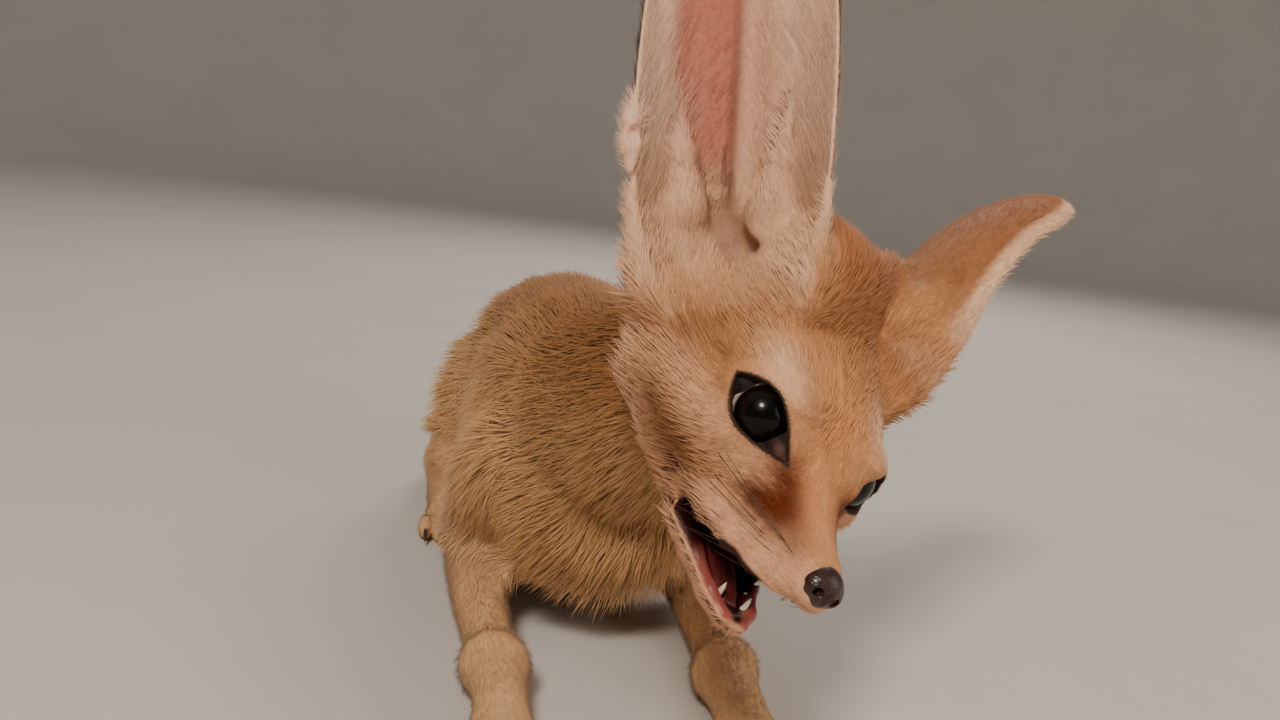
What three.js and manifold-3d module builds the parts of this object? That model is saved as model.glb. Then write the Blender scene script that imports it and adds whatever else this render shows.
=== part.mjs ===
// A fennec fox lying with its legs folded under it, head reached forward, lowered and tilted.
// Millimetres, +Z up. The fox faces -Y and its left side is +X. The floor is z = 0.
// Every solid reaches the tips of the coat.

import * as THREE from "three";
import { LoftGeometry } from "three/addons/geometries/LoftGeometry.js";
import { mergeVertices } from "three/addons/utils/BufferGeometryUtils.js";
import Module from "manifold-3d";

const wasm = await Module();
wasm.setup();

const GAP = 0.35; // clearance between neighbouring pieces
const FAR = 400; // larger than the animal, for cutting boxes
const SMOOTHING = 0.25; // how far a facet may shift when slivers are merged
const RIGHT = -1;
const LEFT = 1;

// The head has a frame of its own: x to the nose, y to the fox's left, z to the crown,
// with its origin midway between the eyes.
const HEAD_AT = new THREE.Vector3(24.8, -153.7, 93.1);
const HEAD_YAW = 3.8; // degrees to the fox's left
const HEAD_PITCH = 17.2; // degrees nose down
const HEAD_ROLL = 32.4; // degrees, left side down

const EYE_RADIUS = 8.2;
const EYE_AT = [1.6, 13.2, -1.2]; // left eye, in the head's frame
const JAW_HINGE = [-16, 0, -15];
const JAW_OPEN = 12; // degrees
const EAR_LENGTH = 95;
const EAR_HALF_WIDTH = 22.5;
const EAR_SKIN = 1.7; // thickness with its short fur
const EAR_CUT = 14; // height above its root where an ear is parted from the head
const EAR_TUCK_END = 0.16; // share of its height below which an ear draws in towards the skull
// The right ear stands up and faces forward, the left one is swung out and back and folded narrower.
const EARS = [
  { name: "ear_right", root: [-35, -24, 12.5], axis: [-0.195, -0.617, 0.762], opening: [0.92, -0.382, -0.092], width: 1, tuck: 0.16 },
  { name: "ear_left", root: [-37, 20, 20], axis: [-0.567, 0.518, 0.64], opening: [0.375, 0.855, -0.36], width: 0.82, tuck: 0.34 },
];
const NOSE_AT = [38.4, 0, -12.6];
const NOSE_RADII = [3.6, 4.6, 3.8];
const TAIL_RADIUS = 20;

const FUR = 0xc19a6b;
const EYE = 0x0a0705;
const NOSE = 0x2a1a16;
const FLESH = 0xa8615c;

const vec = (a) => new THREE.Vector3(...a);
const degrees = THREE.MathUtils.degToRad;

// Turns the head's frame into the body's: nose to -Y, then roll, pitch and yaw.
function headMatrix() {
  const faceForward = new THREE.Matrix4().makeBasis(vec([0, -1, 0]), vec([1, 0, 0]), vec([0, 0, 1]));
  const roll = new THREE.Matrix4().makeRotationX(degrees(-HEAD_ROLL));
  const pitch = new THREE.Matrix4().makeRotationY(degrees(HEAD_PITCH));
  const yaw = new THREE.Matrix4().makeRotationZ(degrees(HEAD_YAW));
  return new THREE.Matrix4().makeTranslation(HEAD_AT).multiply(faceForward).multiply(yaw).multiply(pitch).multiply(roll);
}
const HEAD = headMatrix();

// A closed surface through cross-sections along a smooth line. A station gives the centre, half
// the width, the heights above and below the centre, and which way is up.
function loft(stations, { rings = 12, sides = 16, square = 2.2, up = [0, 0, 1] } = {}) {
  const line = new THREE.CatmullRomCurve3(stations.map((s) => vec(s.at)), false, "centripetal");
  const size = new THREE.CatmullRomCurve3(stations.map((s) => vec(s.size)), false, "catmullrom", 0.4);
  const sections = [];
  for (let i = 0; i < rings; i++) {
    const t = i / (rings - 1);
    const along = line.getTangent(t);
    const across = vec(up).cross(along).normalize();
    const high = along.clone().cross(across);
    const [half, top, bottom] = size.getPoint(t).toArray();
    const centre = line.getPoint(t);
    sections.push(
      Array.from({ length: sides }, (_, k) => {
        const angle = (2 * Math.PI * k) / sides;
        const [c, s] = [Math.cos(angle), Math.sin(angle)];
        const x = half * Math.sign(c) * Math.abs(c) ** (2 / square);
        const y = (s > 0 ? top : bottom) * Math.sign(s) * Math.abs(s) ** (2 / square);
        return centre.clone().addScaledVector(across, x).addScaledVector(high, y);
      }),
    );
  }
  return new LoftGeometry(sections, { capStart: true, capEnd: true });
}

// A round limb or tail: stations of [x, y, z, radius].
function limb(points, options = {}) {
  const stations = points.map(([x, y, z, r]) => ({ at: [x, y, z], size: [r, r, r] }));
  return loft(stations, { square: 2, rings: 7, sides: 10, ...options });
}

function ball(centre, radii, [wide, high] = [12, 8]) {
  return new THREE.SphereGeometry(1, wide, high).scale(...radii).translate(...centre);
}

// A tooth: a five-sided cone whose middle is at the centre, with its tip up or down.
function cone(centre, radius, height, tip) {
  return new THREE.ConeGeometry(radius, height, 5).rotateX(tip === "up" ? Math.PI / 2 : -Math.PI / 2).translate(...centre);
}

function solid(geometry, matrix = new THREE.Matrix4()) {
  const bare = new THREE.BufferGeometry().setAttribute("position", geometry.getAttribute("position").clone());
  bare.setIndex(geometry.index).applyMatrix4(matrix);
  const merged = mergeVertices(bare, 1e-3);
  const mesh = { numProp: 3, vertProperties: merged.attributes.position.array, triVerts: merged.index.array };
  return new wasm.Manifold(new wasm.Mesh(mesh));
}

function join(solids) {
  return solids.reduce((a, b) => a.add(b));
}

// A box from low to high corner, in the frame of matrix.
function block(low, high, matrix) {
  const size = vec(high).sub(vec(low));
  const middle = vec(high).add(vec(low)).multiplyScalar(0.5);
  return solid(new THREE.BoxGeometry(...size.toArray()).translate(...middle.toArray()), matrix);
}

// The skull, cheeks and muzzle, without the lower jaw. Sizes are [half width, up, down].
function headMasses() {
  const skull = loft(
    [
      { at: [41, 0, -13.5], size: [3.4, 2.6, 2.6] },
      { at: [37, 0, -13.5], size: [5.6, 4.6, 5.4] },
      { at: [30, 0, -13.5], size: [7.4, 6.8, 9] },
      { at: [22, 0, -13], size: [9.4, 10, 11.5] },
      { at: [14, 0, -11], size: [13, 13.6, 14] },
      { at: [5, 0, -8], size: [20, 17.5, 17] },
      { at: [-5, 0, -5], size: [26.5, 21.5, 21] },
      { at: [-17, 0, -3], size: [30.5, 26, 25] },
      { at: [-31, 0, -2], size: [31, 31, 26] },
      { at: [-45, 0, -1], size: [27, 30, 24] },
      { at: [-57, 0, 0], size: [19, 20, 17] },
      { at: [-63, 0, 0], size: [9, 9, 8] },
    ],
    { rings: 11, sides: 12, square: 2.2 },
  );
  const cheek = (side) =>
    loft(
      [
        { at: [4, side * 12, -17], size: [6, 6, 6] },
        { at: [-8, side * 18, -15], size: [8.5, 12, 11] },
        { at: [-22, side * 23, -12], size: [11, 17, 15] },
        { at: [-36, side * 26, -11], size: [9.5, 16, 14] },
        { at: [-47, side * 28, -10], size: [4, 7, 6] },
      ],
      { rings: 6, sides: 9 },
    );
  const lip = (side) =>
    loft(
      [
        { at: [7, side * 12.5, -20], size: [3.5, 5, 6] },
        { at: [20, side * 8.4, -19.5], size: [3.6, 5, 6] },
        { at: [29, side * 6, -19], size: [3.4, 5, 6] },
        { at: [36, side * 3, -15.8], size: [2.6, 3.6, 3.8] },
        { at: [38.5, side * 1.6, -15], size: [1.2, 1.8, 1.8] },
      ],
      { rings: 6, sides: 8, square: 2.3 },
    );
  const earRootRuff = (side) => ball([-38, side * 15, 22], [16, 15, 16], [7, 5]);
  const brow = (side) => ball([3, side * 14, 6], [7.5, 7, 4.6], [7, 4]);
  const crown = ball([-38, -5, 23.5], [16.5, 17, 15.5], [8, 6]);
  const crownSide = ball([-26, -14, 23.5], [12.5, 10.5, 11], [8, 6]);
  const masses = [skull, crown, crownSide];
  for (const side of [RIGHT, LEFT]) masses.push(cheek(side), lip(side), earRootRuff(side), brow(side));
  return join(masses.map((m) => solid(m, HEAD)));
}

function jawMatrix() {
  const hinge = new THREE.Matrix4().makeTranslation(...JAW_HINGE);
  const open = new THREE.Matrix4().makeRotationY(degrees(JAW_OPEN));
  return HEAD.clone().multiply(hinge).multiply(open).multiply(hinge.clone().invert());
}

function jawMass() {
  const bar = loft(
    [
      { at: [-22, 0, -22], size: [17, 7, 7] },
      { at: [-8, 0, -24], size: [17, 6, 7] },
      { at: [5, 0, -25.5], size: [13, 3.6, 6.5] },
      { at: [17, 0, -25.7], size: [8.8, 2.6, 5.5] },
      { at: [26.5, 0, -25.2], size: [6.4, 2.2, 4.5] },
      { at: [32, 0, -24.8], size: [3, 1.5, 2.2] },
    ],
    { rings: 10, sides: 12, square: 2.3 },
  );
  const canines = [RIGHT, LEFT].map((side) => cone([27.5, side * 4.2, -21.4], 0.9, 4.6, "up"));
  return join([bar, ...canines].map((m) => solid(m, jawMatrix())));
}

// The gap between the lips, from just behind the corner of the mouth to the front.
function mouthCut() {
  const wedge = new THREE.Shape();
  wedge.moveTo(9, -24.6);
  wedge.lineTo(29, -24.7);
  wedge.lineTo(36, -22.6);
  wedge.lineTo(60, -16);
  wedge.lineTo(60, -60);
  wedge.lineTo(9, -25.6);
  const slab = new THREE.ExtrudeGeometry(wedge, { depth: 60, bevelEnabled: false });
  slab.translate(0, 0, -30).rotateX(Math.PI / 2);
  return solid(slab, HEAD);
}

function earAxes({ axis, opening }) {
  const along = vec(axis).normalize();
  const front = vec(opening).addScaledVector(along, -vec(opening).dot(along)).normalize();
  return { along, front, across: along.clone().cross(front) };
}

// An ear is a curled shell: its section is an arc, half shut at the root and open at the tip.
function earShell(ear, grow = 0) {
  const { along, front, across } = earAxes(ear);
  const core = vec(ear.root).addScaledVector(along, -12).addScaledVector(front, 12);
  const rings = 10;
  const steps = 7;
  const sections = [];
  for (let i = 0; i < rings; i++) {
    const t = i / (rings - 1);
    const taper = Math.sqrt(Math.max(0, 1 - Math.max(0, (t - 0.3) / 0.7) ** 3));
    const width = THREE.MathUtils.lerp(ear.width, 1, THREE.MathUtils.smoothstep(t, 0.3, 0.9));
    const half = Math.max(2.2, EAR_HALF_WIDTH * width * Math.min(1, 0.9 + 0.35 * t) * taper);
    const curl = degrees(THREE.MathUtils.lerp(88, 52, Math.min(1, t * 1.7)));
    const radius = half / Math.sin(Math.min(curl, Math.PI / 2));
    const lean = 6 * Math.sin(Math.PI * t);
    const centre = vec(ear.root).addScaledVector(along, t * EAR_LENGTH).addScaledVector(front, 0.85 * radius - lean);
    const tuck = ear.tuck * Math.max(0, 1 - t / EAR_TUCK_END);
    const arc = (r) => (angle) =>
      centre
        .clone()
        .addScaledVector(front, -r * Math.cos(angle))
        .addScaledVector(across, r * Math.sin(angle))
        .lerp(core, tuck);
    const angles = Array.from({ length: steps }, (_, k) => curl * ((2 * k) / (steps - 1) - 1));
    const outer = angles.map(arc(radius + EAR_SKIN / 2 + grow));
    const inner = angles.map(arc(radius - EAR_SKIN / 2 - grow)).reverse();
    sections.push([...outer, ...inner].reverse());
  }
  return new LoftGeometry(sections, { capStart: true, capEnd: true });
}

// Two furry pads inside the foot of an ear, one on each side of the fold.
function earPads(ear) {
  const { along, front, across } = earAxes(ear);
  const place = (up, ahead, aside) =>
    vec(ear.root).addScaledVector(along, up).addScaledVector(front, ahead).addScaledVector(across, aside).toArray();
  const pad = (side) => {
    const points = [
      [...place(2, -2, side * 9.5), 5.5],
      [...place(14, -1, side * 10), 5.5],
      [...place(24, -2.5, side * 11), 3.6],
      [...place(32, -3.5, side * 12), 1.5],
    ];
    return limb(points, { rings: 4, sides: 6, up: front.toArray() });
  };
  return join([RIGHT, LEFT].map((side) => solid(pad(side), HEAD)));
}

function trunkMass() {
  return solid(
    loft(
      [
        { at: [2, -84, 60], size: [20, 22, 24] },
        { at: [1, -66, 58], size: [35, 38, 42] },
        { at: [0, -35, 57], size: [44, 50, 56] },
        { at: [0, 5, 57], size: [44, 51, 59] },
        { at: [0, 50, 56], size: [42, 50, 58] },
        { at: [0, 92, 53], size: [38, 46, 54] },
        { at: [0, 120, 49], size: [28, 34, 42] },
        { at: [0, 136, 46], size: [13, 15, 20] },
      ],
      { rings: 11, sides: 16, square: 2.1 },
    ),
  );
}

function neckMass() {
  return solid(
    loft(
      [
        { at: [0, -36, 70], size: [28, 34, 30] },
        { at: [4, -66, 78], size: [35, 31, 36] },
        { at: [13, -88, 90], size: [34, 30, 35] },
        { at: [21, -106, 102], size: [31, 27, 30] },
        { at: [24, -120, 104], size: [20, 18, 20] },
      ],
      { rings: 8, sides: 14 },
    ),
  );
}

// The folded foreleg: upper arm against the chest, forearm and paw forward on the floor.
function forelegMass(side) {
  const upper = limb([
    [side * 20, -62, 66, 12],
    [side * 28, -54, 58, 19],
    [side * 33, -38, 40, 18],
    [side * 36, -24, 22, 14],
    [side * 36, -19, 16, 8],
  ]);
  const lower = limb([
    [side * 36, -14, 13, 6],
    [side * 36, -22, 13, 11.5],
    [side * 35, -55, 12.5, 11],
    [side * 33, -90, 10.5, 9.5],
    [side * 32, -108, 9, 9],
    [side * 32, -120, 8, 8.5],
    [side * 32, -127, 7, 5],
  ]);
  return join([solid(upper), solid(lower), pawMass(side * 32, -112, 33)]);
}

// A paw that points to -Y: a pad and four toes.
function pawMass(x, heel, length) {
  const pad = ball([x, heel - length * 0.36, 6], [10.5, length * 0.42, 8], [8, 4]);
  const toes = [-1.5, -0.5, 0.5, 1.5].map((k) => {
    const reach = length * (0.66 + (Math.abs(k) < 1 ? 0.08 : 0));
    return ball([x + k * 5, heel - reach, 4.6], [3.6, length * 0.2, 5.4], [5, 4]);
  });
  return join([pad, ...toes].map((m) => solid(m)));
}

// The folded hind leg: thigh and shank against the flank, the long foot flat beside the belly.
function hindlegMass(side) {
  const thigh = limb([
    [side * 14, 116, 56, 13],
    [side * 19, 100, 55, 25],
    [side * 27, 74, 48, 24],
    [side * 35, 50, 37, 18],
    [side * 38, 38, 31, 12],
  ]);
  const shank = limb([
    [side * 38, 36, 30, 9],
    [side * 39, 46, 28, 14],
    [side * 39, 74, 20, 13],
    [side * 39, 100, 14, 10],
    [side * 39, 112, 11, 7],
  ]);
  const foot = limb([
    [side * 40, 116, 8, 5],
    [side * 40, 108, 8, 8.5],
    [side * 41, 80, 8, 8.5],
    [side * 42, 52, 7.5, 9],
    [side * 42, 40, 7, 8.5],
    [side * 42, 33, 6.5, 5],
  ], { rings: 6, sides: 8 });
  return join([solid(thigh), solid(shank), solid(foot), pawMass(side * 42, 50, 34)]);
}

// The tail leaves the rump, drops to the floor and lies round the fox's left side.
function tailMass() {
  const r = TAIL_RADIUS;
  return solid(
    limb(
      [
        [0, 122, 58, 10],
        [2, 136, 48, 0.62 * r],
        [14, 158, 29, 0.82 * r],
        [42, 174, 19, 0.98 * r],
        [74, 158, 18, r],
        [90, 118, 18, 0.98 * r],
        [94, 74, 16, 0.86 * r],
        [90, 38, 12, 0.58 * r],
        [86, 20, 8, 0.22 * r],
      ],
      { rings: 16, sides: 10 },
    ),
  );
}

// The main body of a cut, without the crumbs beside it.
function largest(piece) {
  return piece.decompose().reduce((a, b) => (b.volume() > a.volume() ? b : a));
}

// Cuts named regions out of a body, one after another, leaving a thin gap round each.
class Divider {
  constructor(body) {
    this.rest = body;
    this.pieces = {};
  }

  takeShape(name, shape, grown) {
    this.pieces[name] = shape;
    this.rest = this.rest.subtract(grown);
  }

  take(name, low, high, matrix) {
    this.pieces[name] = largest(this.rest.intersect(block(low, high, matrix)));
    const grown = block(low.map((v) => v - GAP), high.map((v) => v + GAP), matrix);
    this.rest = this.rest.subtract(grown);
  }

  takeRest(name) {
    this.pieces[name] = largest(this.rest);
  }
}

function eyeSocket(side) {
  const [x, y, z] = EYE_AT;
  const globe = ball([x, side * y, z], Array(3).fill(EYE_RADIUS + GAP), [12, 8]);
  const lids = ball([x + 5.8, side * (y + 5.4), z + 1.4], [6, 5.4, 4.6], [7, 5]);
  return join([solid(globe, HEAD), solid(lids, HEAD)]);
}

function noseBall(grow) {
  return ball(NOSE_AT, NOSE_RADII.map((r) => r + grow), [12, 8]);
}

function tongueSolid(grow) {
  const size = (half, top, bottom) => [half + grow, top + grow, bottom + grow];
  const tongue = loft(
    [
      { at: [1 - grow, 0, -21.6], size: size(5, 0.8, 0.9) },
      { at: [14, 0, -20.6], size: size(5.2, 1.2, 1.4) },
      { at: [26, 0, -20.6], size: size(4.2, 1.1, 1.2) },
      { at: [31.5 + grow, 0, -21], size: size(1.6, 0.5, 0.5) },
    ],
    { rings: 7, sides: 8 },
  );
  return solid(tongue, jawMatrix());
}

// What lies between two heights along an ear.
function alongEar(ear, low, high) {
  const { along, front, across } = earAxes(ear);
  const frame = new THREE.Matrix4().makeBasis(front, across, along).setPosition(vec(ear.root));
  return block([-FAR, -FAR, low], [FAR, FAR, high], HEAD.clone().multiply(frame));
}

function wholeAnimal() {
  const legs = [RIGHT, LEFT].flatMap((side) => [forelegMass(side), hindlegMass(side)]);
  const upperCanines = [RIGHT, LEFT].map((side) => solid(cone([31, side * 4.6, -24.4], 1, 5, "down"), HEAD));
  const face = join([headMasses().subtract(mouthCut()), ...upperCanines, jawMass()]);
  const earRoots = EARS.map((ear) => solid(earShell(ear), HEAD).intersect(alongEar(ear, -FAR, EAR_CUT - GAP)));
  const body = join([trunkMass(), neckMass(), tailMass(), ...legs, face, ...earRoots, ...EARS.map(earPads)]);
  const holes = [eyeSocket(RIGHT), eyeSocket(LEFT), solid(noseBall(GAP), HEAD), tongueSolid(GAP)];
  const aboveFloor = block([-FAR, -FAR, 0], [FAR, FAR, FAR]);
  return holes.reduce((a, hole) => a.subtract(hole), body).intersect(aboveFloor).simplify(SMOOTHING);
}

function divideAnimal() {
  const cut = new Divider(wholeAnimal());
  for (const ear of EARS) {
    const shape = solid(earShell(ear), HEAD).intersect(alongEar(ear, EAR_CUT, FAR));
    cut.takeShape(ear.name, shape, solid(earShell(ear, GAP), HEAD).intersect(alongEar(ear, EAR_CUT - GAP, FAR)));
  }
  cut.take("jaw", [-20, -18.5, -60], [60, 18.5, -24.2], HEAD);
  cut.take("head", [-47, -70, -60], [80, 70, 60], HEAD);
  cut.take("tail_base", [-60, 131, 0], [57, FAR, 90]);
  cut.take("tail_middle", [57, 96, 0], [FAR, FAR, 60]);
  cut.take("tail_tip", [57, -30, 0], [FAR, 96, 60]);
  const slope = new THREE.Matrix4().makeTranslation(0, 74, 32).multiply(new THREE.Matrix4().makeRotationX(degrees(-12)));
  for (const side of [RIGHT, LEFT]) {
    const end = side < 0 ? "right" : "left";
    const across = (inner) => (side < 0 ? [-FAR, -inner] : [inner, FAR]);
    const take = (name, inner, y, z, matrix) => {
      const [x0, x1] = across(inner);
      cut.take(name + end, [x0, y[0], z[0]], [x1, y[1], z[1]], matrix);
    };
    take("hind_foot_", 27, [10, 124], [0, 15.5]);
    take("shank_", 27, [-44, 50], [-30, 0], slope);
    take("thigh_", 24, [28, 124], [15, 88]);
    take("forepaw_", 10, [-FAR, -98], [0, 24]);
    take("forearm_", 22, [-98, -6], [0, 23]);
    take("upper_foreleg_", 24, [-76, -8], [23, 84]);
  }
  cut.take("neck", [-60, -140, 20], [90, -70, 180]);
  cut.takeRest("trunk");
  return cut.pieces;
}

function eyeball(side) {
  const [x, y, z] = EYE_AT;
  return solid(ball([x, side * y, z], Array(3).fill(EYE_RADIUS), [12, 8]), HEAD);
}

const group = new THREE.Group();
function add(name, piece, colour, roughness = 0.9) {
  const mesh = piece.getMesh();
  const geometry = new THREE.BufferGeometry()
    .setAttribute("position", new THREE.BufferAttribute(mesh.vertProperties, 3))
    .setIndex(new THREE.BufferAttribute(mesh.triVerts, 1));
  geometry.computeVertexNormals();
  const material = new THREE.MeshStandardMaterial({ color: colour, roughness, metalness: 0 });
  const made = new THREE.Mesh(geometry, material);
  made.name = name;
  group.add(made);
}

for (const [name, piece] of Object.entries(divideAnimal())) add(name, piece, FUR);
add("eye_right", eyeball(RIGHT), EYE, 0.05);
add("eye_left", eyeball(LEFT), EYE, 0.05);
add("nose", solid(noseBall(0), HEAD), NOSE, 0.4);
add("tongue", tongueSolid(0), FLESH, 0.5);

// The origin is the middle of the footprint, at the floor.
const box = new THREE.Box3().setFromObject(group);
const middle = box.getCenter(new THREE.Vector3());
for (const mesh of group.children) mesh.geometry.translate(-middle.x, -middle.y, -box.min.z);

export default group;
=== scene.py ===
# A life-size fennec fox that lies on its belly, head reached forward, lowered and tilted.
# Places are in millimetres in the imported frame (nose towards -Y, left side +X, floor z = 0), or in
# the head's own frame: x to the nose, y to the fox's left, z to the crown, origin between the eyes.

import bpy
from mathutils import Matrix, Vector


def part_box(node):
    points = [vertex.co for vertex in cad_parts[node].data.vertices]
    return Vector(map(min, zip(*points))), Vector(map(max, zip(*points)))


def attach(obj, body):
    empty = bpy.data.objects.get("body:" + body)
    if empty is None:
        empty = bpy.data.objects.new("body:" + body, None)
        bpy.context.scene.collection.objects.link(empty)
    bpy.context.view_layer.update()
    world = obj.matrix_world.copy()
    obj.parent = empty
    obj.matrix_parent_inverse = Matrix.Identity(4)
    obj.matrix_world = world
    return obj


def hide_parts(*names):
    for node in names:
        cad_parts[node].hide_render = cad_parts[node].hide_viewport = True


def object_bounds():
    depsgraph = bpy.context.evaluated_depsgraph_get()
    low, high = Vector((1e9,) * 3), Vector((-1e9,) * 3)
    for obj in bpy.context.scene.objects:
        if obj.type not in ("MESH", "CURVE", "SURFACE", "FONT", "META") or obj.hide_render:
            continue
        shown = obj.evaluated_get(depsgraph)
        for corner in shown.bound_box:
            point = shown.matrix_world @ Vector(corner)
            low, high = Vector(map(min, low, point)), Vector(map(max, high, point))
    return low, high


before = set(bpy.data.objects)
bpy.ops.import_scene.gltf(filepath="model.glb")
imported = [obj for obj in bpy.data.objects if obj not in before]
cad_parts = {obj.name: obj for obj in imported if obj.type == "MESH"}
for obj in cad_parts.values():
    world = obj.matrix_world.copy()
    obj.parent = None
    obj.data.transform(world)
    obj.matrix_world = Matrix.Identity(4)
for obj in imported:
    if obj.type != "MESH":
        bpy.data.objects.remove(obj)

import copy
import itertools
import math

import bpy
import numpy as np
import openvdb
from mathutils import Matrix, Vector

cad_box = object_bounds()
MM = 0.001
random = np.random.default_rng(11)
RIGHT = -1
LEFT = 1
SIDES = {"right": RIGHT, "left": LEFT}

EYE_AT = np.array([1.6, 13.2, -1.2])  # left eye, in the head's frame
EYE_RADIUS = 8.2
NOSE_AT = np.array([38.4, 0.0, -12.6])
JAW_HINGE = np.array([-16.0, 0.0, -15.0])
JAW_OPEN = math.radians(12)
# The middle between the eyes in the frame that the legs and tail are laid out in.
HEAD_AT = np.array([24.8, -153.7, 93.1])


def middle_of(node):
    low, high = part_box(node)
    return (np.array(low) + np.array(high)) / 2 / MM


def unit(v):
    v = np.asarray(v, float)
    return v / np.linalg.norm(v, axis=-1, keepdims=True)


# The head's axes come from the eyes and the nose.
def head_frame():
    right, left, nose = (middle_of(n) for n in ("eye_right", "eye_left", "nose"))
    between = (right + left) / 2
    side = unit(left - right)
    reach = NOSE_AT - EYE_AT * (1, 0, 1)
    slope = math.atan2(-reach[2], reach[0])
    to_nose = unit(nose - between - side * np.dot(nose - between, side))
    upward = np.cross(to_nose, side)
    forward = to_nose * math.cos(slope) + upward * math.sin(slope)
    up = np.cross(forward, side)
    axes = np.stack([forward, side, up], axis=1)
    return axes, between - axes @ (EYE_AT * (1, 0, 1))


HEAD_AXES, HEAD_ORIGIN = head_frame()
SHIFT = HEAD_ORIGIN - HEAD_AT


def from_head(p):
    return np.asarray(p) @ HEAD_AXES.T + HEAD_ORIGIN


def to_head(p):
    return (np.asarray(p) - HEAD_ORIGIN) @ HEAD_AXES


def jaw_turn(p, back=False):
    """Turns points of the shut jaw to the open one, or back."""
    angle = -JAW_OPEN if back else JAW_OPEN
    c, s = math.cos(angle), math.sin(angle)
    q = np.asarray(p) - JAW_HINGE
    turned = np.stack([c * q[..., 0] + s * q[..., 2], q[..., 1], c * q[..., 2] - s * q[..., 0]], -1)
    return turned + JAW_HINGE


# Signed distances, negative inside, joined and cut with rounded edges.
def join(a, b, k):
    h = np.maximum(k - np.abs(a - b), 0) / k
    return np.minimum(a, b) - h * h * k / 4


def cut(a, b, k):
    return -join(-a, b, k)


def ball(p, centre, radii):
    """Near enough the distance to an ellipsoid."""
    radii = np.broadcast_to(np.asarray(radii, float), 3)
    q = (p - centre) / radii
    r = np.linalg.norm(q, axis=-1)
    slope = np.linalg.norm(q / radii, axis=-1)
    return (r * (r - 1) / np.maximum(slope, 1e-6)).astype(np.float32)


def nearest(p, a, b):
    """Where the nearest place between a and b lies, 0 to 1, and how far away it is."""
    a, b = np.asarray(a, float), np.asarray(b, float)
    t = np.clip((p - a) @ (b - a) / np.dot(b - a, b - a), 0, 1)
    return t, np.linalg.norm(p - a - t[..., None] * (b - a), axis=-1)


def rod(p, a, b, ra, rb):
    """A round bar from a to b whose radius goes from ra to rb."""
    t, distance = nearest(p, a, b)
    return (distance - (ra + (rb - ra) * t)).astype(np.float32)


def smooth_curve(x, knots, values):
    """Catmull-Rom values at x through knots that grow."""
    knots, values = np.asarray(knots, float), np.asarray(values, float)
    slopes = np.gradient(values, knots, axis=0)
    i = np.clip(np.searchsorted(knots, x) - 1, 0, len(knots) - 2)
    width = knots[i + 1] - knots[i]
    t = np.clip((x - knots[i]) / width, 0, 1)[..., None]
    w = width[..., None]
    return (
        (2 * t**3 - 3 * t**2 + 1) * values[i]
        + (t**3 - 2 * t**2 + t) * w * slopes[i]
        + (3 * t**2 - 2 * t**3) * values[i + 1]
        + (t**3 - t**2) * w * slopes[i + 1]
    )


def loft(p, stations, power=2.2):
    """A body along x. Each station is x, centre height, half width, reach up and reach down."""
    table = np.array(sorted(stations), float)
    x = p[..., 0]
    shape = smooth_curve(x, table[:, 0], table[:, 1:])
    z, half, top, bottom = (shape[..., i] for i in range(4))
    up = p[..., 2] - z
    reach = np.where(up > 0, top, bottom)
    across = np.abs(p[..., 1]) / np.maximum(half, 0.1)
    ratio = (across**power + (np.abs(up) / np.maximum(reach, 0.1)) ** power) ** (1 / power)
    size = np.minimum(half, reach)
    beyond = np.maximum(table[0, 0] - x, x - table[-1, 0])
    side_way = (ratio - 1) * size
    return np.where(beyond > 0, np.hypot(np.maximum(side_way, 0), beyond), side_way).astype(np.float32)


def corner_sum(read, i, f):
    """What read gives at the eight corners of cell i, weighted by how near point f in it is."""
    total = 0
    for x, y, z in itertools.product((0, 1), repeat=3):
        share = np.abs(1 - x - f[..., 0]) * np.abs(1 - y - f[..., 1]) * np.abs(1 - z - f[..., 2])
        total = total + share * read(i[..., 0] + x, i[..., 1] + y, i[..., 2] + z)
    return total


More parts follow.
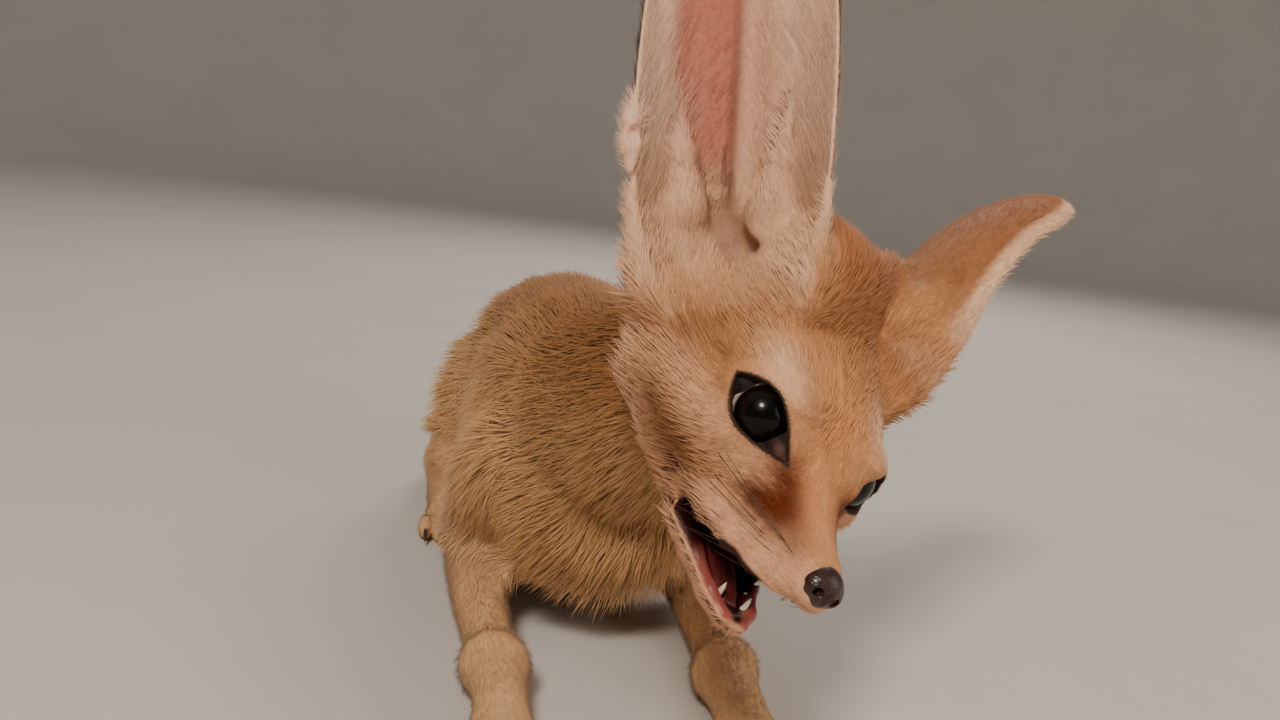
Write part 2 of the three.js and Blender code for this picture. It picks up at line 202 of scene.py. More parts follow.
class Field:
    """Signed distances on a regular grid of points; parts are joined or cut in their own boxes."""

    def __init__(self, low, high, step):
        self.low = np.array(low, float)
        self.step = step
        self.shape = tuple((np.ceil((np.array(high) - low) / step) + 1).astype(int))
        axes = [self.low[i] + step * np.arange(self.shape[i]) for i in range(3)]
        self.points = np.stack(np.meshgrid(*axes, indexing="ij"), -1).astype(np.float32)
        self.value = np.full(self.shape, 50.0, np.float32)

    def at(self, p):
        """The value at any points, read between the grid's."""
        q = (np.asarray(p) - self.low) / self.step
        top = np.array(self.shape) - 1.001
        outside = np.linalg.norm(q - np.clip(q, 0, top), axis=-1) * self.step
        q = np.clip(q, 0, top)
        i = q.astype(int)
        f = (q - i).astype(np.float32)
        return corner_sum(lambda *cell: self.value[cell], i, f) + outside

    def slope(self, p, reach=0.8):
        """The outward direction at points near the surface."""
        steps = np.eye(3) * reach
        return unit(np.stack([self.at(p + s) - self.at(p - s) for s in steps], -1))

    def surface(self):
        """The mesh where the value is 0: points in the grid's frame and four-sided faces."""
        grid = openvdb.FloatGrid(50.0)
        grid.copyFromArray(self.value.astype(np.float32))
        points, quads = grid.convertToQuads(0.0)
        points = np.asarray(points, float) * self.step + self.low
        quads = np.asarray(quads, int)
        return points, quads[:, ::-1] if volume(points, quads) < 0 else quads

    def window(self, low, high, margin):
        i = np.floor((np.array(low) - margin - self.low) / self.step).astype(int)
        j = np.ceil((np.array(high) + margin - self.low) / self.step).astype(int) + 1
        i, j = np.clip(i, 0, self.shape), np.clip(j, 0, self.shape)
        return tuple(slice(a, b) for a, b in zip(i, j))

    def add_ball(self, centre, radii, k):
        centre, radii = np.broadcast_arrays(np.array(centre, float), np.array(radii, float))
        w = self.window(centre - radii, centre + radii, k + 1)
        self.value[w] = join(self.value[w], ball(self.points[w], centre, radii), k)

    def add_chain(self, points, k):
        """Balls of places and radii, joined by rods between neighbours."""
        for (a, ra), (b, rb) in zip(points, points[1:]):
            a, b = np.array(a, float), np.array(b, float)
            reach = max(ra, rb)
            w = self.window(np.minimum(a, b) - reach, np.maximum(a, b) + reach, k + 1)
            self.value[w] = join(self.value[w], rod(self.points[w], a, b, ra, rb), k)

    def carve(self, low, high, shape, k):
        w = self.window(low, high, k + 1)
        self.value[w] = cut(self.value[w], shape(self.points[w]), k)


def volume(points, quads):
    a, b, c, d = (points[quads[:, i]] for i in range(4))
    return float(np.sum(np.cross(b - a, c - a) * a + np.cross(c - a, d - a) * a) / 6)


def blur(a, sigma):
    """Gaussian blur of an array, in cells."""
    reach = int(math.ceil(2.5 * sigma))
    kernel = np.exp(-0.5 * (np.arange(-reach, reach + 1) / sigma) ** 2)
    kernel /= kernel.sum()
    for axis in range(a.ndim):
        padded = np.pad(a, [(reach, reach) if i == axis else (0, 0) for i in range(a.ndim)], mode="edge")
        n = a.shape[axis]
        a = sum(k * np.take(padded, range(i, i + n), axis) for i, k in enumerate(kernel)).astype(np.float32)
    return a


def node_triangles(names):
    """The joined triangles of CAD nodes, in millimetres."""
    points, faces, count = [], [], 0
    for name in names:
        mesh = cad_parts[name].data
        mesh.calc_loop_triangles()
        p = np.empty(len(mesh.vertices) * 3)
        mesh.vertices.foreach_get("co", p)
        f = np.empty(len(mesh.loop_triangles) * 3, int)
        mesh.loop_triangles.foreach_get("vertices", f)
        points.append(p.reshape(-1, 3) / MM)
        faces.append(f.reshape(-1, 3) + count)
        count += len(points[-1])
    return np.concatenate(points), np.concatenate(faces)


def grid_faces(rows, columns):
    """Faces of a grid of points whose columns close on themselves."""
    index = np.arange(rows * columns).reshape(rows, columns)
    after = np.roll(index, -1, axis=1)
    return np.stack([index[:-1], after[:-1], after[1:], index[1:]], -1).reshape(-1, 4)


def ease(low, high, x):
    """0 below low, 1 above high, smooth between."""
    t = np.clip((np.asarray(x, float) - low) / (high - low), 0, 1)
    return t * t * (3 - 2 * t)


def both(point, side):
    return np.asarray(point, float) * (1, side, 1)


# The head under its coat: x, middle height, half width, reach up, reach down.
SKULL = [
    (43.0, -13.0, 2.2, 2.0, 2.0),
    (40.0, -13.0, 4.4, 3.6, 4.0),
    (36.0, -13.0, 5.8, 4.9, 5.4),
    (30.0, -13.0, 6.8, 6.2, 8.2),
    (22.0, -12.5, 8.6, 9.0, 10.8),
    (14.0, -11.0, 12.0, 12.4, 13.2),
    (5.0, -8.0, 18.6, 16.0, 16.0),
    (-5.0, -5.0, 24.6, 19.6, 20.0),
    (-17.0, -3.0, 28.0, 23.5, 23.5),
    (-31.0, -2.0, 28.0, 28.0, 24.0),
    (-45.0, -1.0, 24.0, 27.0, 21.0),
    (-57.0, 0.0, 16.0, 17.0, 14.0),
    (-63.0, 0.0, 6.0, 6.0, 5.0),
]
# The shut lower jaw in the same way.
JAW = [
    (-24.0, -21.0, 12.0, 6.0, 6.0),
    (-8.0, -23.5, 15.0, 5.0, 6.0),
    (5.0, -25.5, 12.4, 3.4, 5.8),
    (17.0, -25.7, 8.6, 2.5, 4.9),
    (26.5, -25.2, 6.2, 2.1, 4.0),
    (32.0, -24.8, 2.8, 1.4, 2.0),
]
CHEEK = [((2, 15, -16), 5.0), ((-10, 18, -13), 9.0), ((-24, 21, -9), 12.0), ((-38, 21, -6), 9.0)]
UPPER_LIP = [
    ((6, 14.2, -21.0), 3.4),
    ((13, 11.4, -20.9), 3.5),
    ((20, 9.0, -20.6), 3.5),
    ((28, 6.8, -19.2), 3.1),
    ((34, 4.6, -17.6), 2.6),
    ((38, 2.0, -15.6), 2.1),
]
LOWER_LIP = [((8, 12.6, -25.2), 2.0), ((17, 8.4, -24.8), 1.9), ((26, 5.4, -24.5), 1.8),
             ((31, 2.4, -24.4), 1.5)]


# The crown climbs on to the foot of the ear that stands forward.
CROWN_SIDE = [((-36, -4, 24), 10.0), ((-27, -12, 24), 8.6), ((-20.5, -17, 23), 6.6)]

LID_LONG = unit([-15.8, 15.5, 6.0])  # from the inner to the outer corner, left eye
LID_OUT = unit(np.array([0.68, 0.70, 0.20]) - LID_LONG * np.dot([0.68, 0.70, 0.20], LID_LONG))
LID_UP = np.cross(LID_LONG, LID_OUT) * np.sign(np.cross(LID_LONG, LID_OUT)[2])
LID_INNER = 12.4
LID_OUTER = 9.1
LID_HALF = 5.3
LID_THICK = 0.9
GAZE = unit([0.83, 0.49, 0.20])


def lid_place(p, side):
    """Along the opening, across it and out of it, from the middle of the eyeball."""
    q = (p - both(EYE_AT, side)) * (1, side, 1)
    return q @ LID_LONG, q @ LID_UP, q @ LID_OUT


def lid_gap(p, side):
    """Distance outside the edge of the opening between the lids, negative inside it."""
    along, across, out = lid_place(p, side)
    inner = 1 - np.clip(-along / LID_INNER, 0, 1.4) ** 1.5
    outer = 1 - np.clip(along / LID_OUTER, 0, 1.4) ** 2.1
    half = LID_HALF * np.where(along < 0, inner, outer)
    tilt = np.hypot(1, LID_HALF * 1.5 / LID_INNER)
    gap = (np.abs(across) - half) / tilt
    return np.where(out > -1, gap, 9.0).astype(np.float32)


# The ears are curled shells; root, axis and opening direction of each in the head's frame.
EAR_LENGTH = 95.0
EAR_HALF = 22.5
EARS = {
    "right": ((-35, -24, 12.5), (-0.195, -0.617, 0.762), (0.92, -0.382, -0.092)),
    "left": ((-37, 20, 20), (-0.567, 0.518, 0.64), (0.375, 0.855, -0.36)),
}

# The sign of the angle share at the edge that is nearer to the crown, how far the foot draws in,
# and how wide the lower half is.
CROWNWARD = {"right": 1, "left": -1}
FOOT_TUCK = {"right": 0.16, "left": 0.34}
EAR_WIDTH = {"right": 1.0, "left": 0.82}


def ear_axes(name):
    root, axis, opening = (np.array(v, float) for v in EARS[name])
    along = unit(axis)
    front = unit(opening - along * np.dot(opening, along))
    return root, along, front, np.cross(along, front)


def ear_form(name, t):
    """Radius and half angle of the curled wall at height t, and how far it leans back."""
    width = EAR_WIDTH[name] + (1 - EAR_WIDTH[name]) * ease(0.3, 0.9, t)
    taper = np.sqrt(np.maximum(0, 1 - np.maximum(0, (t - 0.3) / 0.7) ** 3))
    half = np.maximum(1.6, EAR_HALF * width * np.clip(0.90 + 0.35 * t, 0.8, 1) * taper)
    curl = np.radians(88 + (52 - 88) * np.clip(1.7 * t, 0, 1))
    return half / np.sin(np.minimum(curl, math.pi / 2)), curl, 6 * np.sin(math.pi * t)


def ear_point(name, t, a):
    """The middle of the ear's wall at height t and at angle share a from edge to edge, -1 to 1."""
    root, along, front, across = ear_axes(name)
    radius, curl, lean = ear_form(name, t)
    middle = root + along * (t * EAR_LENGTH)[..., None] + front * (0.85 * radius - lean)[..., None]
    angle = a * curl
    outward = -front * np.cos(angle)[..., None] + across * np.sin(angle)[..., None]
    point = middle + outward * radius[..., None]
    core = root - 12 * along + 12 * front
    tuck = FOOT_TUCK[name] * ease(0.16, -0.06, t)
    return point + tuck[..., None] * (core - point), outward


def ear_local(name, p):
    """Height, angle share and distance outside the wall of points near an ear."""
    root, along, front, across = ear_axes(name)
    q = p - root
    t = q @ along / EAR_LENGTH
    radius, curl, lean = ear_form(name, np.clip(t, 0, 1))
    x, y = q @ front - (0.85 * radius - lean), q @ across
    return t, np.arctan2(y, -x) / curl, np.hypot(x, y) - radius


def at_ear(name, along, front, crownward):
    """A point in an ear's own frame, in millimetres from its root."""
    root, up, ahead, across = ear_axes(name)
    return root + along * up + front * ahead + crownward * CROWNWARD[name] * across


# The fold inside the ear runs down its back wall to a notch at its foot.
EAR_FOLD = [
    ((27.0, -5.6, -4.5), 1.0),
    ((18.0, -3.8, -3.3), 1.6),
    ((14.0, -2.0, -1.9), 2.2),
    ((10.0, 0.0, -0.6), 2.6),
    ((6.0, 2.5, 2.6), 3.1),
    ((4.3, 4.6, 5.5), 3.2),
    ((3.5, 6.5, 8.5), 2.3),
]
# Pads at the foot, beside the fold.
EAR_PADS = [
    [((2.0, -1.0, -9.5), 3.8), ((14.0, -0.6, -10.5), 4.4),
     ((26.0, -2.6, -12.0), 2.4), ((42.0, -4.8, -13.0), 0.4)],
    [((2.0, 0.0, 8.5), 3.8), ((14.0, -0.4, 9.5), 4.2),
     ((26.0, -2.6, 11.0), 2.4), ((42.0, -4.8, 13.0), 0.4)],
]
# A small pouch on the edge away from the crown: heights as shares of the ear, and radii.
EAR_POUCH = [(0.25, 1.0), (0.305, 2.3), (0.37, 2.1), (0.43, 0.6)]


def ear_fold(name):
    return [at_ear(name, *place) for place, radius in EAR_FOLD]


def add_ear_foot(f, name):
    """Flesh round the foot of an ear: the wall runs in to the skull, with pads, a fold and a pouch."""
    core = at_ear(name, -12.0, 12.0, 0.0)
    w = f.window(core - 34, core + 42, 0)
    foot = np.full(f.value[w].shape, 50.0, np.float32)
    for a in np.linspace(-1, 1, 25):
        t = np.array([-0.12, 0.0, 0.08, 0.18, 0.34])
        line = ear_point(name, t, np.full(5, a))[0]
        line[0] += 0.55 * (core - line[0])
        for b, c, rb, rc in zip(line, line[1:], (5.4, 4.0, 2.6, 1.5), (4.0, 2.6, 1.5, 0.2)):
            foot = np.minimum(foot, rod(f.points[w], b, c, rb, rc))
    f.value[w] = join(f.value[w], foot, 5.0)
    heights = np.array([height for height, radius in EAR_POUCH])
    pouch = ear_point(name, heights, np.full(len(heights), -1.02 * CROWNWARD[name]))[0]
    f.add_chain(list(zip(pouch, [radius for height, radius in EAR_POUCH])), 1.5)
    hollow = (pouch[1] + pouch[2]) / 2 + at_ear(name, 0.0, 1.6, 1.3) - at_ear(name, 0.0, 0.0, 0.0)
    f.carve(hollow - 3, hollow + 3, lambda p: ball(p, hollow, (1.7, 1.7, 2.6)), 1.0)
    for pad in EAR_PADS:
        f.add_chain([(at_ear(name, *place), radius) for place, radius in pad], 4)
    for (a, ra), (b, rb) in zip(EAR_FOLD, EAR_FOLD[1:]):
        a, b = at_ear(name, *a), at_ear(name, *b)
        w = f.window(np.minimum(a, b) - 3, np.maximum(a, b) + 3, 3)
        f.value[w] = cut(f.value[w], rod(f.points[w], a, b, ra, rb), 2.4)


def head_field(step):
    """The head with its mouth open and hollows for the eyes, in its own frame."""
    f = Field((-74, -66, -46), (47, 58, 58), step)
    f.value = loft(f.points, SKULL)
    for s in (RIGHT, LEFT):
        f.add_ball(both((2, 12.5, 6.0), s), (8.0, 6.0, 2.2), 9)
        f.add_ball(both((-2, 19.5, -8.0), s), (10.0, 5.0, 5.0), 5)
        f.add_ball(both((-42, 17.0, 17.0), s), (12.0, 13.0, 12.0), 8)
        f.add_chain([(both(p, s), r) for p, r in CHEEK], 6)
    f.add_ball((-37, -5, 22.5), (15, 15, 13.5), 12)
    f.add_chain(CROWN_SIDE, 12)
    for name in EARS:
        add_ear_foot(f, name)
    # The scalp reaches up the back of the ear that is swung out.
    for height, radius in ((0.12, 4.5), (0.22, 3.5), (0.32, 2.0)):
        back = ear_point("left", np.array([height]), np.array([0.15]))[0][0]
        f.add_chain([((-36, 2, 29.5), 5.0), (back, radius)], 6)
    # The palate: everything under the muzzle goes, and the lips then hang past it.
    palate = lambda p: np.maximum(p[..., 2] + 22.6 - 0.10 * np.maximum(p[..., 0] - 30, 0), 8.0 - p[..., 0])
    f.carve((8, -30, -46), (47, 30, -15), palate, 1.0)
    for s in (RIGHT, LEFT):
        f.add_chain([(both(p, s), r) for p, r in UPPER_LIP], 3)
    # The jaw turns about its hinge and joins the cheeks behind the corners of the mouth.
    w = f.window((-40, -30, -46), (47, 30, -14), 0)
    shut = jaw_turn(f.points[w], back=True)
    jaw = loft(shut, JAW)
    for s in (RIGHT, LEFT):
        for (a, ra), (b, rb) in zip(LOWER_LIP, LOWER_LIP[1:]):
            jaw = join(jaw, rod(shut, both(a, s), both(b, s), ra, rb), 2)
    tray = ball(shut, (16, 0, -21.6), (15, 7.4, 4.6))
    jaw = cut(jaw, tray, 1.5)
    merge = 1.0 + 9.0 * ease(12, -2, f.points[w][..., 0])
    f.value[w] = join(f.value[w], jaw, merge)
    mouth_inside = lambda p: ball(p, (13, 0, -24.4), (17, 10.5, 3.2))
    f.carve((-6, -14, -32), (34, 14, -18), mouth_inside, 1.2)
    for s in (RIGHT, LEFT):
        eye = both(EYE_AT, s)
        f.add_ball(eye, EYE_RADIUS + LID_THICK, 3.5)
        for way, out in ((-9.5, 3.6), (7.5, 4.2)):
            f.add_ball(eye + both(LID_LONG * way + LID_OUT * out, s), 4.2, 4)
        w = f.window(eye - 17, eye + 17, 0)
        p = f.points[w]
        floor = join(ball(p, eye, EYE_RADIUS - 0.8), f.value[w] + 2.1, 0.8)
        f.value[w] = cut(f.value[w], np.maximum(lid_gap(p, s), -floor), 0.5)
    nose = ball(f.points, (41.6, 0, -12.4), (4, 3.4, 3.2))
    f.value = cut(f.value, nose, 1.0)
    return f


EAR_ROWS = 120
EAR_COLUMNS = 80


def ear_shell(name):
    """Points, faces and, for each point, height, angle share and side of the wall."""
    n, m = EAR_ROWS, EAR_COLUMNS
    t, a = np.meshgrid(np.linspace(0, 1, n), np.linspace(-1, 1, m), indexing="ij")
    middle, outward = ear_point(name, t, a)
    edge = np.sqrt(np.clip(1 - np.abs(a) ** 8, 0, 1)) * np.sqrt(np.clip(1 - t**16, 0, 1))
    ridge = 0.5 * np.sin(a * 16 + 1.5 * t) * ease(0.75, 0.3, t) * ease(1.0, 0.75, np.abs(a))
    wall = 0.25 + 0.7 * edge
    back = middle + outward * wall[..., None]
    inner = middle - outward * (wall + ridge * edge)[..., None]
    index = np.arange(n * m).reshape(n, m)
    sheet = np.stack([index[:-1, :-1], index[1:, :-1], index[1:, 1:], index[:-1, 1:]], -1).reshape(-1, 4)
    rim = np.concatenate([index[:, 0], index[-1, 1:], index[-2::-1, -1], index[0, -2::-1]])
    edges = np.stack([rim[:-1], rim[:-1] + n * m, rim[1:] + n * m, rim[1:]], -1)
    points = np.concatenate([back.reshape(-1, 3), inner.reshape(-1, 3)])
    faces = np.concatenate([sheet, sheet[:, ::-1] + n * m, edges])
    if volume(points, faces) < 0:
        faces = faces[:, ::-1]
    return points, faces, np.tile(t.ravel(), 2), np.tile(a.ravel(), 2), np.repeat([1.0, -1.0], n * m)


# Each kind of solid behind the face: depth of its coat, length of its hair and the way that lies.
COAT = {
    "trunk": (8.5, 19.0, (0, 1, -0.18)),
    "neck": (7.5, 15.0, (-0.34, 0.85, -0.40)),
    "head": (9.0, 12.0, (-0.34, 0.85, -0.40)),
    "tail_base": (9.0, 19.0, (0, 0, 0)),
    "tail_middle": (10.5, 25.0, (0, 0, 0)),
    "tail_tip": (8.0, 23.0, (0, 0, 0)),
    "upper_foreleg": (7.0, 13.0, (0, 0.63, -0.74)),
    "thigh": (7.0, 14.0, (0, 0.5, -0.8)),
    "forearm": (2.6, 3.6, (0, -1, -0.1)),
    "shank": (3.0, 5.2, (0, 0.95, -0.25)),
    "forepaw": (1.2, 2.6, (0, -1, -0.15)),
    "hind_foot": (1.4, 2.8, (0, -1, -0.12)),
}
TAIL_KINDS = ("tail_base", "tail_middle", "tail_tip")
LIMB_KINDS = ("forearm", "shank", "forepaw", "hind_foot")
# How softly each melts into the solids before it: the solids are melted together, then drawn in.
MELT = {
    "neck": 14.0,
    "head": 8.0,
    "upper_foreleg": 9.0,
    "thigh": 9.0,
    "forearm": 6.0,
    "shank": 6.0,
    "forepaw": 12.0,
    "hind_foot": 9.0,
    "tail_base": 6.0,
    "tail_middle": 6.0,
    "tail_tip": 6.0,
}
CRACK = 0.6  # closes the thin gaps between neighbouring solids
BODY_STEP = 2.0
HEAD_STEP = 0.6


def nodes_by_kind():
    """Every CAD node behind the face that the skin stands for."""
    kinds = {}
    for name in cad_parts:
        kind = name.replace("_right", "").replace("_left", "")
        if kind in COAT:
            kinds.setdefault(kind, []).append(name)
    return kinds


def level_set(points, faces, like):
    """Distances to a closed surface, on the grid of another field."""
    points = ((points - like.low) / like.step).astype(np.float32)
    faces = faces.astype(np.uint32)
    kind = {"triangles": faces} if faces.shape[1] == 3 else {"quads": faces}
    level = openvdb.FloatGrid.createLevelSetFromPolygons(
        points, transform=openvdb.createLinearTransform(1.0), halfWidth=9.0, **kind
    )
    f = copy.copy(like)
    f.value = np.zeros(like.shape, np.float32)
    level.copyToArray(f.value)
    f.value *= like.step
    return f


def body_fields():
    low = np.array(cad_box[0]) / MM - 6
    high = np.array(cad_box[1]) / MM + 6
    high[2] = 150
    f = Field(low, high, BODY_STEP)
    parts = {kind: level_set(*node_triangles(names), f) for kind, names in nodes_by_kind().items()}
    total = parts["trunk"].value.copy()
    depth = np.zeros(f.shape, np.float32)
    weight = np.zeros(f.shape, np.float32)
    for kind, melt in MELT.items():
        total = join(total, parts[kind].value, melt)
    for kind, part in parts.items():
        share = np.exp(-np.clip(part.value, -12, 40) / 3.0)
        depth += share * COAT[kind][0]
        weight += share
    depth = blur(depth / weight, 1.5)
    f.value = total - CRACK
    f.value = level_set(*f.surface(), f).value + depth + CRACK
    # Little of it goes on inside the head, and it stays above the floor.
    inside = head.at(to_head(f.points)).astype(np.float32) + 4
    f.value = cut(f.value, inside, 3.0)
    f.value = np.maximum(f.value, 0.6 - f.points[..., 2])
    return f, parts


# Toes of each paw, as in the solids: sideways place of the paw, its heel and its length.
PAWS = [(32.0, -112.0, 33.0), (42.0, 50.0, 34.0)]


def toes():
    """Middle, radii and sideways number of each toe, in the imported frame."""
    made = []
    for side in (RIGHT, LEFT):
        for x, heel, length in PAWS:
            for k in (-1.5, -0.5, 0.5, 1.5):
                reach = length * (0.74 if abs(k) < 1 else 0.66)
                middle = np.array([side * x + 5 * k, heel - reach, 4.4]) + SHIFT
                made.append((middle, np.array([2.9, 0.19 * length, 4.0]), k))
    return made


def toe_skin():
    rows, columns = 14, 20
    turn = np.linspace(0, 2 * math.pi, columns, endpoint=False)
    rise = np.linspace(0.02, math.pi - 0.02, rows)[:, None]
    x, y, z = np.sin(rise) * np.cos(turn), np.sin(rise) * np.sin(turn), np.cos(rise)
    ring = np.stack(np.broadcast_arrays(x, y, z), -1).reshape(-1, 3)
    points = np.concatenate([middle + ring * radii for middle, radii, k in toes()])
    faces = np.concatenate([grid_faces(rows, columns) + i for i in range(0, len(points), len(ring))])
    return points, faces if volume(points, faces) > 0 else faces[:, ::-1]


head = head_field(HEAD_STEP)
body, parts = body_fields()


def srgb(*colour):
    """Linear light from 0 to 255 colours as a screen shows them."""
    c = np.array(colour, float) / 255
    return np.where(c <= 0.04045, c / 12.92, ((c + 0.055) / 1.055) ** 2.4)


CREAM = srgb(230, 170, 130)
PALE = srgb(240, 184, 140)
FAWN = srgb(204, 142, 94)
TAN = srgb(174, 118, 70)
BROWN = srgb(124, 78, 42)
RIDGE = srgb(218, 148, 96)
EAR_FUR = srgb(232, 184, 146)
CROWN = srgb(170, 106, 64)
RUST = srgb(104, 42, 6)
UMBER = srgb(70, 38, 24)
EYELINE = srgb(30, 16, 11)
EAR_BACK = srgb(162, 104, 64)
EAR_PINK = srgb(196, 118, 98)
# painted shade in the ear's fold and notch
EAR_FOLD_SHADE = srgb(92, 42, 34)
WHITE_HAIR = srgb(226, 172, 142)
# painted light on the ear's inner hair
EAR_PAINTED_LIGHT = srgb(250, 204, 174)
GUM = srgb(150, 74, 66)
# dark red throat flesh, darkened further as painted shade
THROAT_FLESH_AND_SHADE = srgb(42, 10, 10)
BACK = srgb(156, 102, 58)
FLANK = srgb(210, 162, 110)
BELLY = srgb(222, 180, 136)
TAIL_DARK = srgb(48, 30, 22)
LEG = srgb(218, 168, 120)
BROW = srgb(250, 198, 156)
HORN = srgb(58, 42, 34)
LID_FLESH = srgb(94, 56, 46)
NOSE_DARK = srgb(48, 24, 18)
TONGUE = srgb(92, 36, 34)
IVORY = srgb(226, 212, 186)
WHISKER_BROWN = srgb(74, 48, 32)
STAGE_GREY = srgb(206, 200, 193)


def mix(a, b, t):
    t = np.asarray(t, float)[..., None]
    return a * (1 - t) + b * t


def spot(p, centre, radii):
    """A soft spot, 1 in its middle."""
    q = (p - np.asarray(centre, float)) / np.asarray(radii, float)
    return np.exp(-np.sum(q * q, -1))


def line_distance(p, points):
    best = 1e9
    for a, b in zip(points, points[1:]):
        best = np.minimum(best, rod(p, a, b, 0, 0))
    return best


def near_line(p, points, radius):
    """A soft stripe along a line of points."""
    return np.exp(-((line_distance(p, points) / radius) ** 2))


class Noise:
    """Smooth noise of about -1 to 1 from random values on a lattice, the same each run."""

    def __init__(self, cell, seed):
        self.cell = cell
        self.table = np.random.default_rng(seed).uniform(-1, 1, (32, 32, 32))

    def __call__(self, p):
        q = np.asarray(p) / self.cell + 1000
        i = np.floor(q).astype(int)
        f = q - i
        f = f * f * (3 - 2 * f)
        return corner_sum(lambda x, y, z: self.table[x % 32, y % 32, z % 32], i, f)


blotch = Noise(9.0, 3)
fleck = Noise(2.2, 4)


# A dark band along the cheek: partly darker streaks of fur, partly painted shade.
CHEEK_STREAK_AND_SHADE = [(-13, 31, -12.5), (-6, 27, -16.5), (0, 23.5, -17.5), (5, 20, -18)]
PALE_BAND = [(-14, 31, -9), (-5, 26, -8), (3, 21, -9), (9, 17, -12)]
TEMPLE_BAND = [(-26, 36, -6), (-20, 33, -3), (-14, 29, 0)]
TEAR_LINE = [(14.5, 8.6, -4.0), (19.0, 7.6, -5.4), (23.0, 7.6, -9.6), (17.0, 11.4, -12.6)]
LID_LINE = [EYE_AT + LID_LONG * 8.5 + LID_OUT * 3, EYE_AT + LID_LONG * 15 + LID_OUT * 1]


def layered(colour, *coats):
    """A colour with others laid over it, each with its share."""
    for other, share in coats:
        colour = mix(colour, other, share)
    return colour


def mirrored(p):
    """Points of either side on the left one."""
    return np.stack([p[..., 0], np.abs(p[..., 1]), p[..., 2]], -1)


def head_colour(p):
    """Colours of skin and coat alike on the head, in its own frame."""
    q = mirrored(p)
    x, y, z = q[..., 0], q[..., 1], q[..., 2]
    wobble = 1.6 * blotch(p) + 0.6 * fleck(p)
    colour = layered(
        mix(FAWN, CREAM, ease(1, -10, z + wobble)),
        # tan over the back of the lower cheek: partly the fur's own colour, partly painted shade
        (TAN, 0.7 * ease(12, -8, x + wobble) * ease(-3, -11, z) * ease(26, 18, y - 0.2 * x)),
        (TAN, 0.75 * spot(q, (-16, 26, 6), (12, 10, 9))),
        (TAN, 0.5 * spot(q, (-14, 0, 18), (10, 9, 8))),
        (CROWN, 0.85 * ease(13, 26, z + wobble) * ease(4, -20, x)),
        (FAWN, 0.45 * spot(q, (-4, 0, 16), (12, 4, 8))),
        (RIDGE, 0.8 * ease(9, 4, y) * ease(-10, -4, x) * ease(-16, -8, z)),
        (BROW, 0.95 * spot(q, (1, 16, 8.5), (10, 5.5, 5.2))),
        (BROWN, 0.5 * near_line(q, TEMPLE_BAND, 4.5)),
        # brown band on the cheek: partly dark fur, partly painted shade
        (BROWN, 0.95 * near_line(q, CHEEK_STREAK_AND_SHADE, 5.8)),
        (CREAM, 0.6 * near_line(q, PALE_BAND, 4.2)),
        (PALE, 0.85 * spot(q, (-20, 34, -14), (8, 6, 6))),
        (UMBER, 0.6 * near_line(q, LID_LINE, 1.8)),
        (TAN, 0.6 * spot(q, (9, 16, -15), (6, 4, 3.5))),
        (CREAM, ease(12, 24, x) * ease(3.5, 7, y) * ease(-6, -11, z)),
        (RUST, 0.97 * near_line(q, TEAR_LINE, 3.3)),
        (RUST, 0.97 * spot(q, (22.5, 8.0, -9.5), (8.0, 5.0, 5.0))),
        (RUST, 0.4 * near_line(q, [(22, 7, -8.5), (33, 5.4, -10.5)], 2.4)),
        (UMBER, 0.5 * spot(q, (40, 0, -10), (4.5, 5, 4))),
        *((UMBER, 0.45 * spot(q, centre, (0.7, 0.9, 0.7))) for centre in WHISKER_SPOTS),
    )
    for name in EARS:
        colour = ear_foot_colour(name, p, colour)
    return colour


def ear_foot_colour(name, p, colour):
    """Blends the head's colours into those of an ear at its foot."""
    t, share, outside = ear_local(name, p)
    crownward = share * CROWNWARD[name]
    near = ease(-0.10, 0.06, t + 0.02 * blotch(p)) * ease(1.5, 1.15, np.abs(share)) * ease(9, 4, outside)
    back = mix(FAWN, EAR_BACK, ease(0.1, 0.3, t) * ease(-0.9, -0.3, crownward))
    edge = ease(0.76, 0.92, crownward) * ease(0.05, 0.16, t) + ease(-0.25, -0.7, crownward)
    inner = np.clip(np.maximum(ease(1.5, -1.5, outside), edge), 0, 1)
    foot = mix(back, ear_lining(t, crownward), inner)
    # painted shade along the fold and notch at the ear's foot
    return layered(colour, (foot, 0.9 * near), (EAR_FOLD_SHADE, 0.9 * near_line(p, ear_fold(name), 4.0)))


WHISKER_SPOTS = [
    (x, y, z)
    for row, (z, back) in enumerate(((-12.6, 0), (-15.2, 1.2), (-17.8, 0.4), (-20.2, 1.6)))
    for x, y in zip((33.5 - back, 30.0 - back, 26.5 - back, 23.0 - back), (6.2, 7.2, 8.6, 9.8))
]


def ear_pink(t, a):
    """1 on the bare pink band that runs up the ear beside its fold."""
    low = -0.30 - 0.35 * ease(0.2, 0.5, t)
    return ease(-0.12, 0.08, a - low) * ease(0.06, -0.08, a) * ease(0.16, 0.30, t)


def ear_lining(t, a):
    """Colours inside an ear: pale hair, made paler still towards both edges as painted light, with pink
    skin and painted shade in the fold between.
    """
    # painted shade along the fold inside the ear
    fold_shade = np.exp(-(((a + 0.03) / 0.06) ** 2)) * ease(0.10, 0.2, t) * ease(1.0, 0.4, t)
    return layered(
        # painted light: the hair is made paler still towards both edges of the wall
        mix(WHITE_HAIR, EAR_PAINTED_LIGHT, np.maximum(ease(-0.3, -0.8, a), 0.7 * ease(0.15, 0.5, a))),
        (EAR_FUR, ease(0.36, 0.12, t)),
        (EAR_PINK, 0.9 * ear_pink(t, a)),
        (EAR_FOLD_SHADE, 0.6 * fold_shade),
    )


